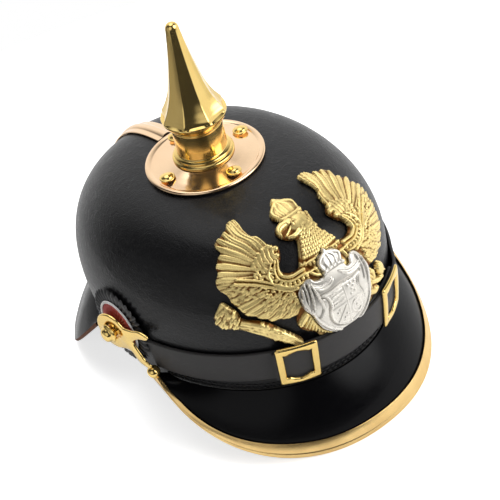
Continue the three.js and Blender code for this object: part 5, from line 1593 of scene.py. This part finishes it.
# %% Camera
def look(azimuth, elevation, roll, distance, target, lens):
    az, el, turn = (math.radians(v) for v in (azimuth, elevation, roll))
    back = Vector((math.sin(az) * math.cos(el), -math.cos(az) * math.cos(el), math.sin(el)))
    right = Vector((math.cos(az), math.sin(az), 0))
    up = back.cross(right)
    across = math.cos(turn) * right + math.sin(turn) * up
    upright = math.cos(turn) * up - math.sin(turn) * right
    data = bpy.data.cameras.new("camera")
    data.lens, data.sensor_width, data.clip_end = lens, 36, 20
    camera = bpy.data.objects.new("camera", data)
    facing = Matrix((across, upright, back)).transposed().to_4x4()
    camera.matrix_world = Matrix.Translation(Vector(target) * MM + back * distance * MM) @ facing
    bpy.context.scene.collection.objects.link(camera)
    bpy.context.scene.camera = camera
    return camera


AZIMUTH, ELEVATION, ROLL, DISTANCE, LENS = -31.13, 38.51, -13.90, 1054.08, 129.6
LOOKED_AT = (8.42, -9.35, 65.73)
camera = look(AZIMUTH, ELEVATION, ROLL, DISTANCE, LOOKED_AT, LENS)
print("camera, m:", [round(v, 3) for v in camera.location])

# %% [markdown]
# ## Studio
# A white floor before a white backdrop, which only the camera sees. Polished metal and lacquer
# show whatever stands round them, so for every other ray the room is nearly dark, with a few
# soft bright patches, one for each light box or wall. Two lamps add the shadows.

# %% Floor
floor_mesh = bpy.data.meshes.new("floor")
FLOOR_RADIUS, FLOOR_SIDES = 0.42, 64
angles = np.arange(FLOOR_SIDES) / FLOOR_SIDES * 2 * np.pi
around = [(FLOOR_RADIUS * math.cos(a), FLOOR_RADIUS * math.sin(a), 0) for a in angles]
floor_mesh.from_pydata(around, [], [tuple(range(FLOOR_SIDES))])
floor = bpy.data.objects.new("floor", floor_mesh)
bpy.context.scene.collection.objects.link(floor)
floor_look, tree, shader = new_material("White floor")
seen = add(tree, "ShaderNodeLightPath").outputs["Is Camera Ray"]
for label, value in (
        ("Base Color", (0.8, 0.8, 0.8, 1)), ("Roughness", 0.8), ("Specular IOR Level", 0.1),
        ("Emission Color", (1, 1, 1, 1))):
    shader.inputs[label].default_value = value
OWN_GLOW, EXTRA_FOR_CAMERA = 0.15, 0.55
glow = maths(tree, "MULTIPLY_ADD", seen, EXTRA_FOR_CAMERA, OWN_GLOW)
tree.links.new(glow, shader.inputs["Emission Strength"])
floor_mesh.materials.append(floor_look)

print("floor, m across:", 2 * FLOOR_RADIUS)

# %% [markdown]
# ## Room and lamps
# Each patch is a smooth bright spot in one direction, worked out from the angle to it. A ray
# from the camera sees plain white instead. The lamps are hidden from reflections, because the
# patches already stand for them there.

# %% Room and lamps
# direction of a bright patch, how tight it is (cosines of its outer and inner edge), strength
PATCHES = [
    ((-0.74, -0.38, 0.43), 0.86, 0.97, 0.8), ((0.45, -0.72, 0.52), 0.86, 0.97, 3.6),
    ((0.52, 0.85, 0.12), 0.30, 0.95, 1.1), ((0.10, 0.25, 0.96), 0.88, 0.97, 1.7),
    ((-0.95, 0.25, 0.02), 0.80, 0.97, 0.35), ((0.93, -0.35, -0.12), 0.72, 0.93, 1.0),
]
ROOM = 0.03
world = bpy.data.worlds.new("room")
bpy.context.scene.world = world
world.use_nodes = True
tree = world.node_tree
tree.nodes.clear()
direction = add(tree, "ShaderNodeTexCoord").outputs["Generated"]
total = ROOM
for way, outer, inner, strength in PATCHES:
    towards = add(tree, "ShaderNodeVectorMath", {
        0: direction, 1: Vector(way).normalized()}, operation="DOT_PRODUCT")
    patch = add(tree, "ShaderNodeMapRange", {
        "Value": towards.outputs["Value"], "From Min": outer, "From Max": inner, "To Max": strength},
        interpolation_type="SMOOTHSTEP")
    total = maths(tree, "ADD", patch.outputs[0], total)
room = add(tree, "ShaderNodeBackground", {"Color": (1, 1, 1, 1), "Strength": total})
paper = add(tree, "ShaderNodeBackground", {"Color": (1, 1, 1, 1), "Strength": 1.0})
seen = add(tree, "ShaderNodeLightPath").outputs["Is Camera Ray"]
mixed = add(tree, "ShaderNodeMixShader", {0: seen, 1: room.outputs[0], 2: paper.outputs[0]})
add(tree, "ShaderNodeOutputWorld", {"Surface": mixed.outputs[0]})


def lamp(name, place, aim, size, power):
    data = bpy.data.lights.new(name, "AREA")
    data.shape, data.size, data.energy = "DISK", size, power
    light = bpy.data.objects.new(name, data)
    light.location = place
    light.visible_glossy = False
    light.rotation_euler = (Vector(aim) - Vector(place)).to_track_quat("-Z", "Y").to_euler()
    bpy.context.scene.collection.objects.link(light)


LAMP_AIM, LAMP_POWER = (0, 0, 0.08), 5
lamp("right box", (0.75, -0.95, 0.6), LAMP_AIM, 0.4, LAMP_POWER)
lamp("overhead box", (0.1, 0.45, 1.3), LAMP_AIM, 0.6, LAMP_POWER)
bpy.context.scene.view_settings.view_transform = "Standard"
print("bright patches:", len(PATCHES))
